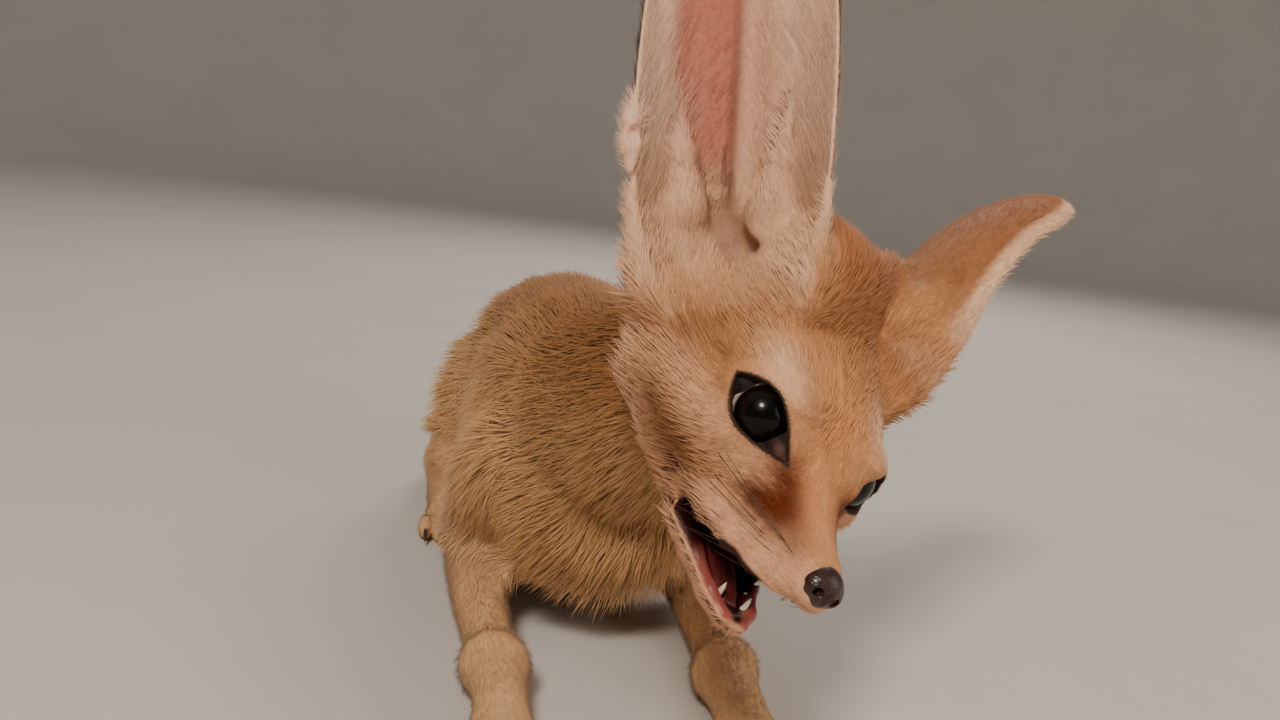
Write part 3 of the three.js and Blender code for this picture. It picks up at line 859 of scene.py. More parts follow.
def ear_colour(t, a, face):
    """Colours on the ear by height, angle share towards the crown and side of the wall."""
    outside = layered(
        mix(EAR_BACK, CROWN, 0.5 * ease(0.55, 1, t)),
        (FAWN, 0.7 * ease(0.35, 0.05, t)),
        (BROW, 0.95 * ease(0.78, 0.92, np.abs(a))),
    )
    return np.where((face > 0)[..., None], outside, ear_lining(t, a))


# The middle line of the tail.
TAIL_LINE = [
    (0, 122, 58),
    (2, 136, 48),
    (14, 158, 29),
    (42, 174, 19),
    (74, 158, 18),
    (90, 118, 18),
    (94, 74, 16),
    (90, 38, 12),
    (86, 20, 8),
]


def tail_place(p):
    """The tail at the place nearest to each point: share of its length, 0 to 1, and direction."""
    line = np.array(TAIL_LINE, float) + SHIFT
    steps = np.linalg.norm(np.diff(line, axis=0), axis=1)
    start = np.concatenate([[0], np.cumsum(steps)])
    best, share, way = np.full(len(p), 1e9), np.zeros(len(p)), np.zeros((len(p), 3))
    for i, (a, b) in enumerate(zip(line, line[1:])):
        t, distance = nearest(p, a, b)
        nearer = distance < best
        share = np.where(nearer, (start[i] + t * steps[i]) / start[-1], share)
        way = np.where(nearer[:, None], unit(b - a), way)
        best = np.minimum(best, distance)
    return share, way


def node_weights(p):
    """How much each kind of solid counts at points near its surface."""
    weights = {kind: np.exp(-np.clip(part.at(p), -14, 40) / 3.5) for kind, part in parts.items()}
    total = sum(weights.values())
    return {kind: w / total for kind, w in weights.items()}


def weight_of(weights, kinds):
    return sum(weights[kind] for kind in kinds)


def coat_mean(weights, column):
    """A measure of the table COAT, mixed by the weights."""
    return sum(weights[kind] * row[column] for kind, row in COAT.items())


def body_colour(p, weights=None):
    """Colours of skin and coat alike behind the head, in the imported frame."""
    weights = weights or node_weights(p)
    z = p[..., 2] + 4 * blotch(p / 2.2)
    share = tail_place(p)[0]
    ring = np.exp(-(((share - 0.16) / 0.05) ** 2))
    tail = layered(
        mix(FAWN, BELLY, 0.5 * ease(22, 8, z)),
        (TAIL_DARK, 0.75 * ring * ease(20, 32, z)),
        (TAIL_DARK, 0.93 * ease(0.80, 0.90, share + 0.02 * fleck(p))),
    )
    return layered(
        mix(BELLY, FLANK, ease(14, 40, z)),
        (BACK, 0.9 * ease(66, 104, z)),
        # painted shade: the neck is darkened with the back's colour
        (BACK, 0.3 * weights["neck"]),
        (PALE, 0.95 * spot(p - SHIFT, (-50, -14, 50), (20, 36, 24))),
        (LEG, 0.85 * weight_of(weights, LIMB_KINDS)),
        (tail, weight_of(weights, TAIL_KINDS)),
    )


def new_mesh(name, points, faces, corners=4):
    """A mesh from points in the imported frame's millimetres; corners is 3 or 4 for every face."""
    mesh = bpy.data.meshes.new(name)
    mesh.vertices.add(len(points))
    mesh.vertices.foreach_set("co", (np.asarray(points, np.float32) * MM).ravel())
    mesh.loops.add(len(faces) * corners)
    mesh.loops.foreach_set("vertex_index", np.asarray(faces, np.int32).ravel())
    mesh.polygons.add(len(faces))
    mesh.polygons.foreach_set("loop_start", np.arange(0, len(faces) * corners, corners, dtype=np.int32))
    mesh.polygons.foreach_set("loop_total", np.full(len(faces), corners, np.int32))
    mesh.polygons.foreach_set("use_smooth", np.ones(len(faces), bool))
    mesh.update(calc_edges=True)
    thing = bpy.data.objects.new(name, mesh)
    bpy.context.scene.collection.objects.link(thing)
    return thing


def paint(thing, colours):
    layer = thing.data.attributes.new("Col", "FLOAT_COLOR", "POINT")
    values = np.ones((len(thing.data.vertices), 4), np.float32)
    values[:, :3] = colours
    layer.data.foreach_set("color", values.ravel())


def mark(thing, values, name):
    layer = thing.data.attributes.new(name, "FLOAT", "POINT")
    layer.data.foreach_set("value", np.asarray(values, np.float32))


def finish_piece(thing, material, slot, *nodes):
    thing.data.materials.append(material)
    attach(thing, "root")
    if nodes:
        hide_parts(*nodes)
    return thing


def set_inputs(node, inputs):
    """Sets a node's inputs, named with _ for a space, to a number, a colour or another's output."""
    for key, value in inputs.items():
        socket = node.inputs[key.replace("_", " ")]
        if hasattr(value, "links"):
            node.id_data.links.new(value, socket)
        else:
            socket.default_value = value


class Shader:
    """A material's nodes around one Principled shader."""

    def __init__(self, name, **inputs):
        self.material = bpy.data.materials.new(name)
        self.material.use_nodes = True
        self.tree = self.material.node_tree
        self.surface = self.tree.nodes["Principled BSDF"]
        self.set(**inputs)

    def set(self, **inputs):
        set_inputs(self.surface, inputs)

    def node(self, kind, **inputs):
        made = self.tree.nodes.new("ShaderNode" + kind)
        set_inputs(made, inputs)
        return made

    def attribute(self, name, output="Fac"):
        made = self.node("Attribute")
        made.attribute_name = name
        return made.outputs[output]

    def texture(self, kind, **inputs):
        return self.node(kind, Vector=self.node("TexCoord").outputs["Object"], **inputs)

    def noise(self, scale, detail):
        return self.texture("TexNoise", Scale=scale, Detail=detail, Roughness=0.55).outputs["Fac"]

    def ranged(self, value, low, high, to_low, to_high):
        limits = {"From_Min": low, "From_Max": high, "To_Min": to_low, "To_Max": to_high}
        return self.node("MapRange", Value=value, **limits).outputs["Result"]

    def tone(self, scale, detail, low, high):
        """Noise between two numbers, to multiply a colour by."""
        return self.ranged(self.noise(scale, detail), 0.3, 0.7, low, high)

    def scaled(self, colour, factor):
        """A colour times a number."""
        made = self.node("VectorMath")
        made.operation = "SCALE"
        set_inputs(made, {"Vector": colour, "Scale": factor})
        return made.outputs[0]

    def bump(self, height, strength, distance):
        self.set(Normal=self.node("Bump", Height=height, Strength=strength, Distance=distance).outputs[0])


def tinted(name, colour, roughness, specular, tone, bump=None, **inputs):
    """A material of one colour with mottled tones; bump is scale, detail, strength and distance."""
    s = Shader(name, Roughness=roughness, Specular_IOR_Level=specular, **inputs)
    s.set(Base_Color=s.scaled(colour, s.tone(*tone)))
    if bump:
        s.bump(s.noise(*bump[:2]), *bump[2:])
    return s.material


def skin_material():
    s = Shader("skin", Specular_IOR_Level=0.22, Subsurface_Weight=0.12, Subsurface_Scale=0.002)
    s.set(Subsurface_Radius=(1.0, 0.35, 0.2))
    s.set(Base_Color=s.scaled(s.attribute("Col", "Color"), s.tone(900, 5, 0.86, 1.1)))
    s.set(Roughness=s.ranged(s.attribute("wet"), 0, 1, 0.66, 0.34))
    s.bump(s.noise(1400, 3), 0.25, 0.0002)
    return s.material


def coat_material():
    s = Shader("coat", Roughness=0.72, Specular_IOR_Level=0.12, Sheen_Weight=0.08, Sheen_Roughness=0.5)
    s.set(Base_Color=s.scaled(s.attribute("Col", "Color"), s.tone(650, 3, 0.91, 1.08)))
    return s.material


# The mouth opens between the palate and the jaw, whose own upward direction leans forward.
JAW_UP = np.array([math.sin(JAW_OPEN), 0, math.cos(JAW_OPEN)])


def head_skin():
    """Points, faces, colours and wetness of the head."""
    points, faces = head.surface()
    normals = head.slope(points)
    x, y, z = points.T
    # The lining of the mouth: what faces the gap between palate and jaw.
    shut = jaw_turn(points, back=True)
    in_gap = ease(-6, 0, x) * ease(-27.5, -26.0, shut[:, 2]) * ease(-20.5, -21.5, z)
    roof = in_gap * ease(-0.15, -0.5, normals[:, 2])
    tray = in_gap * ease(0.1, 0.45, normals @ JAW_UP) * ease(-20.5, -22.5, z)
    wet = np.maximum(roof, tray)
    inward = np.abs(y) - np.interp(x, (0, 9, 20, 30), (13, 12.6, 7.2, 2.5))
    deep = np.maximum(ease(21, 12, x), ease(0, -0.5, normals[:, 2]))
    # painted shade: the lining turns dark red deeper in the mouth, further in from the lips and on the roof
    # that faces down
    flesh = layered(mix(GUM, THROAT_FLESH_AND_SHADE, ease(-0.8, -2.6, inward)), (THROAT_FLESH_AND_SHADE, deep))
    nostril = spot(points, (39.0, 0, -13.0), (2.6, 3.6, 3.2))
    colours = layered(head_colour(points), (flesh, wet), (EYELINE, 0.8 * ease(0.3, 0.6, nostril)))
    for s in (RIGHT, LEFT):
        gap = lid_gap(points, s)
        along, across, out = lid_place(points, s)
        inside = ease(0.2, -0.6, gap) * ease(0, 2, out)
        corner = mix(EYELINE, LID_FLESH, ease(-6.5, -9.0, along) * ease(1.6, 0.4, np.abs(across)))
        rim = 0.95 * ease(1.3, 0.5, gap) * ease(0, 2, out)
        colours = layered(colours, (EYELINE, rim), (corner, inside))
        wet = np.maximum(wet, inside * ease(5.0, 2.0, along) * ease(-4.5, -3.0, along))
    return points, faces, colours, wet


def make_skin():
    points, faces, colours, wet = head_skin()
    lots = [(from_head(points), faces, colours, wet)]
    for name in EARS:
        p, f, height, share, face = ear_shell(name)
        lots.append((from_head(p), f, ear_colour(height, share * CROWNWARD[name], face), 0.1 * (face < 0)))
    p, f = body.surface()
    lots.append((p, f, body_colour(p), np.zeros(len(p))))
    p, f = toe_skin()
    # painted shade: each toe is darkened within 1.6 mm of the floor, where it rests on it
    lots.append((p, f, mix(body_colour(p), UMBER, 0.5 * ease(1.6, 0.8, p[:, 2])), np.zeros(len(p))))
    points, faces, colours, wet = zip(*lots)
    start = np.cumsum([0] + [len(p) for p in points])
    faces = [f + n for f, n in zip(faces, start)]
    skin = new_mesh("skin", np.concatenate(points), np.concatenate(faces))
    paint(skin, np.concatenate(colours))
    mark(skin, np.concatenate(wet), "wet")
    stood_for = [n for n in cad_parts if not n.startswith(("eye", "nose", "tongue"))]
    return finish_piece(skin, skin_material(), "fur", *stood_for)


skin = make_skin()


IRIS = math.radians(50)
PUPIL = math.radians(27)
CORNEA_RISE = 0.55


def make_eye(name):
    """A ball with a bulging clear front; angles are measured from the gaze."""
    side = SIDES[name]
    rows, columns = 72, 72
    angle = np.linspace(0.001, math.pi - 0.001, rows)
    turn = np.linspace(0, 2 * math.pi, columns, endpoint=False)
    bulge = CORNEA_RISE * np.clip(np.cos(np.clip(angle / (IRIS * 1.12), 0, 1) * math.pi) * 0.5 + 0.5, 0, 1)
    radius = EYE_RADIUS + bulge
    gaze = both(GAZE, side)
    across = unit(np.cross(gaze, (0, 0, 1)))
    upward = np.cross(across, gaze)
    ring = np.cos(turn)[:, None] * across + np.sin(turn)[:, None] * upward
    direction = np.cos(angle)[:, None, None] * gaze + np.sin(angle)[:, None, None] * ring[None]
    points = both(EYE_AT, side) + direction * radius[:, None, None]
    thing = new_mesh("eyeball_" + name, from_head(points.reshape(-1, 3)), grid_faces(rows, columns))
    mark(thing, np.repeat(angle / math.pi, columns), "from_gaze")
    # painted shade on the eyeball towards the corners of the opening, under the lids
    mark(thing, ease(-3.5, -6.5, lid_place(points.reshape(-1, 3), side)[0]), "corner")
    return thing


def eye_material():
    s = Shader("eye", Roughness=0.3, Specular_IOR_Level=0.1)
    s.set(Coat_Weight=0.4, Coat_Roughness=0.02, Coat_IOR=1.36)
    ramp = s.node("ValToRGB", Fac=s.attribute("from_gaze"))
    stops = [
        (0.0, (3, 2, 2)),
        (PUPIL / math.pi, (4, 3, 3)),
        (PUPIL / math.pi + 0.02, (24, 12, 7)),
        (IRIS / math.pi - 0.02, (16, 8, 5)),
        (IRIS / math.pi, (14, 8, 6)),
        (IRIS / math.pi + 0.035, (196, 172, 152)),
        (IRIS / math.pi + 0.10, (205, 178, 160)),
        (0.60, (170, 110, 96)),
    ]
    points = ramp.color_ramp.elements
    while len(points) < len(stops):
        points.new(0.5)
    for element, (place, colour) in zip(points, stops):
        element.position = place
        element.color = (*srgb(*colour), 1)
    # painted shade: the ball is darkened towards the corners
    painted_shade = s.ranged(s.attribute("corner"), 0, 1, 1, 0.28)
    colour = s.scaled(ramp.outputs["Color"], s.tone(1500, 4, 0.75, 1.2))
    s.set(Base_Color=s.scaled(colour, painted_shade))
    return s.material


eye_look = eye_material()
for eye_name in EARS:
    finish_piece(make_eye(eye_name), eye_look, "eye", "eye_" + eye_name)


NOSE_MIDDLE = np.array([40.4, 0.0, -12.6])


def nose_field():
    """The nose pad: two wings around comma-shaped nostrils, with a groove down the middle."""
    f = Field((33, -7.5, -20), (45.5, 7.5, -5), 0.2)
    f.add_ball((38.8, 0, -12), (3.8, 4.3, 3.6), 1)
    f.add_ball((39.6, 0, -14.2), 2.6, 2)
    for s in (RIGHT, LEFT):
        f.add_ball(both((39.6, 2.9, -13.1), s), (2.3, 1.9, 2.3), 1.5)
        hole = [both(p, s) for p in ((42.3, 2.2, -12.9), (40.4, 2.9, -13.2), (39.0, 4.6, -14.2))]
        for a, b, ra, rb in ((hole[0], hole[1], 0.95, 0.95), (hole[1], hole[2], 0.9, 0.55)):
            f.value = cut(f.value, rod(f.points, a, b, ra, rb), 0.5)
    x, y, z = (f.points[..., i] for i in range(3))
    groove = np.hypot(y, np.maximum(0, 42.6 - x)) - 0.45
    f.value = cut(f.value, np.where(z < -11.6, groove, 2).astype(np.float32), 0.6)
    return f


def make_nose():
    f = nose_field()
    points, faces = f.surface()
    thing = new_mesh("nose_pad", from_head(points), faces)
    # painted shade inside the nostrils
    hole = np.zeros(len(points))
    for s in (RIGHT, LEFT):
        hole += spot(points, both((40.6, 2.9, -13.3), s), (1.8, 1.5, 1.5))
    mark(thing, np.clip(hole, 0, 1), "hole")
    return thing


def nose_material():
    s = Shader("nose", Roughness=0.34, Specular_IOR_Level=0.4, Coat_Weight=0.25, Coat_Roughness=0.18)
    # painted shade: the nostrils are darkened to about an eighth
    hole = s.ranged(s.attribute("hole"), 0.45, 0.95, 1.0, 0.12)
    s.set(Base_Color=s.scaled(s.scaled(NOSE_DARK, s.tone(700, 4, 0.8, 1.25)), hole))
    s.bump(s.texture("TexVoronoi", Scale=2300.0).outputs["Distance"], 0.45, 0.0002)
    return s.material


finish_piece(make_nose(), nose_material(), "nose", "nose")


def make_tongue():
    """A thin tongue with a groove, from the throat to behind the lower front teeth."""
    f = Field((-4, -8, -38), (34, 8, -18), 0.4)
    shut = jaw_turn(f.points, back=True)
    stations = [
        (0, -24.6, 3.6, 1.1, 1.1),
        (10, -25.0, 4.2, 1.2, 1.2),
        (20, -24.9, 3.8, 1.1, 1.1),
        (27, -24.6, 2.0, 0.7, 0.7),
    ]
    f.value = loft(shut, stations, 2.6)
    groove = rod(shut, (0, 0, -23.4), (24, 0, -23.6), 0.7, 0.4)
    f.value = cut(f.value, groove, 1.2)
    points, faces = f.surface()
    return new_mesh("tongue_soft", from_head(points), faces)


flesh = tinted(
    "flesh", TONGUE, 0.28, 0.5, (1100, 4, 0.8, 1.15), (2600, 2, 0.4, 0.0003),
    Subsurface_Weight=0.2, Subsurface_Scale=0.002,
)
finish_piece(make_tongue(), flesh, "mouth", "tongue")


def horns(name, items, sides=10, rings=7):
    """Curved cones: root, direction, bend, length and root radius of each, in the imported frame."""
    t = np.linspace(0, 1, rings)
    points, faces = [], []
    for root, way, bend, length, radius in items:
        root, way, bend = np.asarray(root, float), unit(way), np.asarray(bend, float)
        line = root + length * (t[:, None] * way + t[:, None] ** 2 * bend)
        across = unit(np.cross(way, bend if np.linalg.norm(bend) > 1e-3 else (0.3, 0.9, 0.2)))
        other = unit(np.cross(way, across))
        turn = np.linspace(0, 2 * math.pi, sides, endpoint=False)
        size = radius * np.sqrt(np.clip(1 - t**1.6, 0.0004, 1))
        ring = np.cos(turn)[:, None] * across + np.sin(turn)[:, None] * other
        start = len(points) * rings * sides
        points.append((line[:, None] + ring[None] * size[:, None, None]).reshape(-1, 3))
        faces.append(grid_faces(rings, sides) + start)
    return new_mesh(name, np.concatenate(points), np.concatenate(faces))


NO_BEND = (0, 0, 0)


def teeth():
    """Small teeth along both jaws, with longer canines."""
    items = []
    up = HEAD_AXES @ np.array([0.12, 0.0, 1.0])
    backward = HEAD_AXES @ np.array([-0.25, 0, 0])
    for s in (RIGHT, LEFT):
        for x in np.arange(12.0, 24.0, 3.0):
            y = 8.2 - 0.24 * (x - 12)
            items.append((from_head(jaw_turn(both((x, y, -26.0), s))), up, NO_BEND, 2.3, 0.8))
            items.append((from_head(both((x + 1.5, y + 1.0, -21.6), s)), -up, NO_BEND, 2.4, 0.9))
        items.append((from_head(jaw_turn(both((26.6, 3.9, -25.6), s))), up, backward, 4.6, 0.8))
        items.append((from_head(both((31.0, 4.0, -19.8), s)), -up, backward, 4.4, 0.85))
        for y in (0.6, 1.7):
            items.append((from_head(jaw_turn(both((29.6, y, -25.4), s))), up, NO_BEND, 1.5, 0.45))
            items.append((from_head(both((34.6 - 0.4 * y, y, -18.4), s)), -up, NO_BEND, 1.5, 0.45))
    return horns("teeth", items, 10, 7)


def claw_items():
    """A claw out of the upper front of each toe."""
    items = []
    for middle, radii, k in toes():
        root = middle + (0, -0.72 * radii[1], 1.0)
        items.append((root, (0.05 * k, -1, -0.12), (0, 0, -0.45), 6.0, 0.9))
    return items


tooth = tinted("tooth", IVORY, 0.25, 0.5, (500, 3, 0.85, 1.05))
finish_piece(teeth(), tooth, None)
horn = tinted("horn", HORN, 0.35, 0.5, (900, 4, 0.7, 1.3), (3000, 2, 0.3, 0.0001))
finish_piece(horns("claws", claw_items(), 12, 8), horn, "horn")


def whisker_items():
    """Long stiff hairs from the upper lip that sweep back along the cheek."""
    items = []
    for s in (RIGHT, LEFT):
        for i, (x, y, z) in enumerate(WHISKER_SPOTS):
            row, column = divmod(i, 4)
            root = both((x, y - 0.6, z), s)
            way = both((-0.55 + 0.08 * (3 - column), 0.72, 0.10 - 0.16 * row), s)
            way = way + random.normal(0, 0.06, 3)
            bend = both((-0.75, -0.3, -0.10 - 0.04 * row), s)
            long = 9.0 + 4.0 * column + random.uniform(-2, 4)
            items.append((from_head(root), HEAD_AXES @ way, HEAD_AXES @ bend, long, 0.075 + 0.01 * column))
    return items


whisker = tinted("whisker", WHISKER_BROWN, 0.4, 0.4, (300, 2, 0.7, 1.3))
finish_piece(horns("whiskers", whisker_items(), 6, 10), whisker, "fur")


CAMERA_AT = np.array([-64.43, -390.51, 150.33]) + SHIFT
CAMERA_LOOK = np.array([0.20470, 0.96305, -0.17500])
CAMERA_DOWN = np.array([0.07945, -0.19455, -0.97767])
LENS = 32.34  # on a 36 mm wide sensor


def make_camera():
    look = unit(CAMERA_LOOK)
    down = unit(CAMERA_DOWN - look * np.dot(CAMERA_DOWN, look))
    right = np.cross(down, look)
    data = bpy.data.cameras.new("camera")
    data.lens = LENS
    data.sensor_width = 36.0
    data.clip_start = 0.01
    data.clip_end = 20.0
    camera = bpy.data.objects.new("camera", data)
    axes = Matrix((right, -down, -look)).transposed().to_4x4()
    camera.matrix_world = Matrix.Translation(Vector(CAMERA_AT * MM)) @ axes
    bpy.context.scene.collection.objects.link(camera)
    bpy.context.scene.camera = camera


def make_stage():
    """A pale round floor that curves up into a backdrop all round."""
    floor, bend, top, sides = 2.2, 0.9, 3.2, 72
    angle = np.arange(1, 13) / 12 * math.pi / 2
    profile = [(0.001, 0.0), (floor * 0.5, 0.0), (floor, 0.0)]
    profile += list(zip(floor + bend * np.sin(angle), bend - bend * np.cos(angle)))
    profile.append((floor + bend, top))
    turn = np.linspace(0, 2 * math.pi, sides, endpoint=False)
    points = np.array([(r * math.cos(a), r * math.sin(a), z) for r, z in profile for a in turn]) / MM
    stage = new_mesh("stage", points, grid_faces(len(profile), sides))
    stage.data.materials.append(tinted("stage", STAGE_GREY, 0.85, 0.2, (6, 3, 0.97, 1.03)))


def lamp(name, place, target, size, power, colour):
    data = bpy.data.lights.new(name, "AREA")
    data.shape = "DISK"
    data.size = size
    data.energy = power
    data.color = colour
    thing = bpy.data.objects.new(name, data)
    thing.location = place
    thing.rotation_mode = "QUATERNION"
    thing.rotation_quaternion = (Vector(target) - Vector(place)).to_track_quat("-Z", "Y")
    bpy.context.scene.collection.objects.link(thing)


def make_lights():
    middle = (0.0, -0.08, 0.10)
    lamp("key", (-0.50, -1.05, 1.08), middle, 0.34, 16.5, (1.0, 0.93, 0.84))
    lamp("fill", (1.2, -0.9, 0.6), middle, 1.4, 9.0, (1.0, 0.95, 0.9))
    lamp("rim", (0.5, 1.1, 1.0), middle, 0.8, 9.0, (1.0, 0.94, 0.86))
    world = bpy.data.worlds.new("world")
    world.use_nodes = True
    set_inputs(world.node_tree.nodes["Background"], {"Color": (0.78, 0.76, 0.74, 1), "Strength": 0.35})
    bpy.context.scene.world = world


make_camera()
make_stage()
make_lights()


# The coat: closed locks of hair that start on the skin, lift off it and bend back to lie along it.
PATCH = 0.003
HEAD_LOCKS = 86000
BODY_LOCKS = 122000
EAR_LOCKS = 21000  # on each ear
TOE_LOCKS = 420  # on each toe


def random_roots(points, faces, count, density):
    """Random places on a mesh, more of them where density is high."""
    triangles = np.concatenate([faces[:, [0, 1, 2]], faces[:, [0, 2, 3]]])
    a, b, c = (points[triangles[:, i]] for i in range(3))
    area = np.linalg.norm(np.cross(b - a, c - a), axis=1) / 2
    share = area * density((a + b + c) / 3)
    chosen = random.choice(len(triangles), count, p=share / share.sum())
    u, v = random.uniform(size=(2, count, 1))
    over = u + v > 1
    u, v = np.where(over, 1 - u, u), np.where(over, 1 - v, v)
    return a[chosen] + u * (b - a)[chosen] + v * (c - a)[chosen]


def along_skin(way, normal):
    """Turns directions into the plane of the skin."""
    return unit(way - normal * np.sum(way * normal, -1, keepdims=True))


def clump_pull(root, normal, length, cell, pull, seed):
    """How far the tips lean towards the middle of their clump, less for short hair."""
    i = np.floor(root / cell).astype(int)
    table = np.random.default_rng(seed).uniform(0, 1, (64, 64, 64, 3))
    middle = (i + table[i[:, 0] % 64, i[:, 1] % 64, i[:, 2] % 64]) * cell
    lean = middle - root
    lean = lean - normal * np.sum(lean * normal, -1, keepdims=True)
    return pull * lean * np.minimum(1, 0.8 * length / cell)[:, None]


class Locks:
    """Arrays that describe locks, one row each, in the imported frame's millimetres.

    rise is how far the tip lifts, lean where it is pulled, part the row of the map it lies in.
    """

    NUMBERS = ("length", "width", "rise", "part")
    VECTORS = ("root", "normal", "way", "lean", "colour", "tip")

    def __init__(self, **arrays):
        count = len(arrays["root"])
        for key in self.NUMBERS + self.VECTORS:
            shape = (count,) if key in self.NUMBERS else (count, 3)
            setattr(self, key, np.broadcast_to(np.asarray(arrays[key], float), shape))

    def only(self, chosen):
        return Locks(**{key: getattr(self, key)[chosen] for key in self.NUMBERS + self.VECTORS})


def box_place(p, normal, part):
    """Places on a square map: each part of the skin unfolds like a box into a row of six fields."""
    parts_here, row = np.unique(part, return_inverse=True)
    axis = np.abs(normal).argmax(1)
    each = np.arange(len(p))
    column = 2 * axis + (normal[each, axis] > 0)
    low = np.array([p[row == k].min(0) for k in range(len(parts_here))])
    high = np.array([p[row == k].max(0) for k in range(len(parts_here))])
    q = 0.03 + 0.94 * (p - low[row]) / np.maximum(high[row] - low[row], 1e-3)
    u = (column + q[each, (axis + 1) % 3]) / 6
    v = (row + q[each, (axis + 2) % 3]) / len(parts_here)
    return np.stack([u, v], -1)


# Rings of a straight lock and of one that bends once: place along it, girth and painted shade, darkest at
# the root where the hairs crowd and a little lighter at the tip.
STRAIGHT = ((0, 0.9, 0.92), (1, 0, 1.06))
BENT = ((0, 0.75, 0.88), (0.5**0.9, 1.0, 1.0), (1, 0, 1.06))
# How far the corners of a lock's rings lie to its side and out of the skin.
CORNER_SIDE, CORNER_OUT = (f(np.radians([90, 210, 330]))[None, :, None] for f in (np.cos, np.sin))


def lock_mesh(name, locks, rings):
    """Closed three-sided locks with a corner ring for each of the rings but the last, the tip."""
    mean = np.arcsin(np.clip(locks.rise / locks.length, 0.02, 0.9))
    first, last = 1.55 * mean, 0.35 * mean
    turn = last - first
    side = unit(np.cross(locks.way, locks.normal))
    points, normals, colours = [], [], []
    for t, girth, painted_shade in rings:
        angle = first + turn * t
        run = (np.sin(angle) - np.sin(first)) / turn
        climb = (np.cos(first) - np.cos(angle)) / turn
        spine = locks.root - 0.5 * locks.width[:, None] * locks.normal
        spine = spine + locks.length[:, None] * (run[:, None] * locks.way + climb[:, None] * locks.normal)
        spine = spine + t**1.4 * locks.lean
        tone = mix(locks.colour, locks.tip, t) * painted_shade
        heading = np.cos(angle)[:, None] * locks.way + np.sin(angle)[:, None] * locks.normal
        thick = np.cross(side, heading)
        if girth == 0:
            points.append(spine[:, None])
            normals.append((thick + locks.normal)[:, None])
            colours.append(tone[:, None])
            continue
        half = locks.width[:, None, None] / 2 * girth
        sideways, out = CORNER_SIDE * side[:, None], CORNER_OUT * thick[:, None]
        points.append(spine[:, None] + half * (sideways + 0.6 * out))
        normals.append(0.55 * (sideways + out) + 0.9 * locks.normal[:, None])
        # painted shade: the two lower corners of each ring are darker than the upper one
        colours.append(np.repeat(tone[:, None], 3, axis=1) * (0.92 + 0.10 * CORNER_OUT))
    points, normals, colours = (np.concatenate(v, axis=1) for v in (points, normals, colours))
    points[..., 2] = np.maximum(points[..., 2], 0.15)
    faces, spots = lock_faces(len(rings) - 1)
    base = np.arange(0, points.size // 3, points.shape[1])[:, None, None]
    thing = new_mesh(name, points.reshape(-1, 3), (faces[None] + base).reshape(-1, 3), 3)
    paint(thing, np.clip(colours, 0, 1).reshape(-1, 3))
    normals = unit(normals).reshape(-1, 3)
    thing.data.normals_split_custom_set_from_vertices(normals.astype(np.float32))
    layer = thing.data.uv_layers.new(name="OFBake")
    place = box_place(locks.root, locks.normal, locks.part)
    uv = place[:, None, None] * (1 - PATCH) + PATCH * spots[None]
    layer.data.foreach_set("uv", uv.astype(np.float32).ravel())
    return finish_piece(thing, coat_look, "fur")


def lock_faces(rows):
    """Corner numbers of one lock's triangles, and where each corner lies in its patch."""
    faces, spots = [], []
    for r, c in itertools.product(range(rows), range(3)):
        a, b = 3 * r + c, 3 * r + (c + 1) % 3
        low, high, left, right = r / rows, (r + 1) / rows, c / 3, (c + 1) / 3
        if r == rows - 1:
            faces.append((a, b, 3 * rows))
            spots.append(((left, low), (right, low), ((left + right) / 2, 1)))
            continue
        faces += [(a, b, b + 3), (a, b + 3, a + 3)]
        spots.append(((left, low), (right, low), (right, high)))
        spots.append(((left, low), (right, high), (left, high)))
    faces.append((2, 1, 0))
    spots.append(((0.6, 0.0), (0.3, 0.0), (0.3, 0.1)))
    return np.array(faces)[:, ::-1], np.array(spots)[:, ::-1]


coat_look = coat_material()


def tones(count, spread):
    return (1 + spread * random.uniform(-1, 1, count))[:, None]


def head_hair(p):
    """Length of the head's hair, from the nose back."""
    x, z = p[:, 0], p[:, 2]
    length = 4.6 - 2.2 * ease(8, 22, x) - 0.8 * ease(28, 38, x)
    length = length + 5.0 * ease(0, -28, x) * ease(6, -8, z)
    length = length + 1.0 * ease(-14, -34, x) * ease(4, 14, z)
    length = length + 6.0 * ease(-36, -56, x)
    length = length + 4.0 * ease(-10, -30, x) * ease(-14, -22, z)
    for s in (RIGHT, LEFT):
        length = length * (0.32 + 0.68 * ease(0.5, 7.0, lid_gap(p, s)))
    for name in EARS:
        t, share, outside = ear_local(name, p)
        near = ease(1.5, 1.15, np.abs(share)) * ease(9, 4, np.abs(outside)) * ease(-0.05, 0.1, t)
        short = 4.6 - 1.4 * ease(0.0, 0.14, t) + 1.2 * ease(0, -3, outside)
        length = length + near * (short - length)
        length = length * (0.35 + 0.65 * ease(2.4, 8.5, line_distance(p, ear_fold(name))))
    return length


def lid_away(p, side):
    """The direction in which the distance from the opening between the lids grows."""
    steps = np.eye(3) * 0.4
    return unit(np.stack([lid_gap(p + v, side) - lid_gap(p - v, side) for v in steps], -1) + 1e-6)


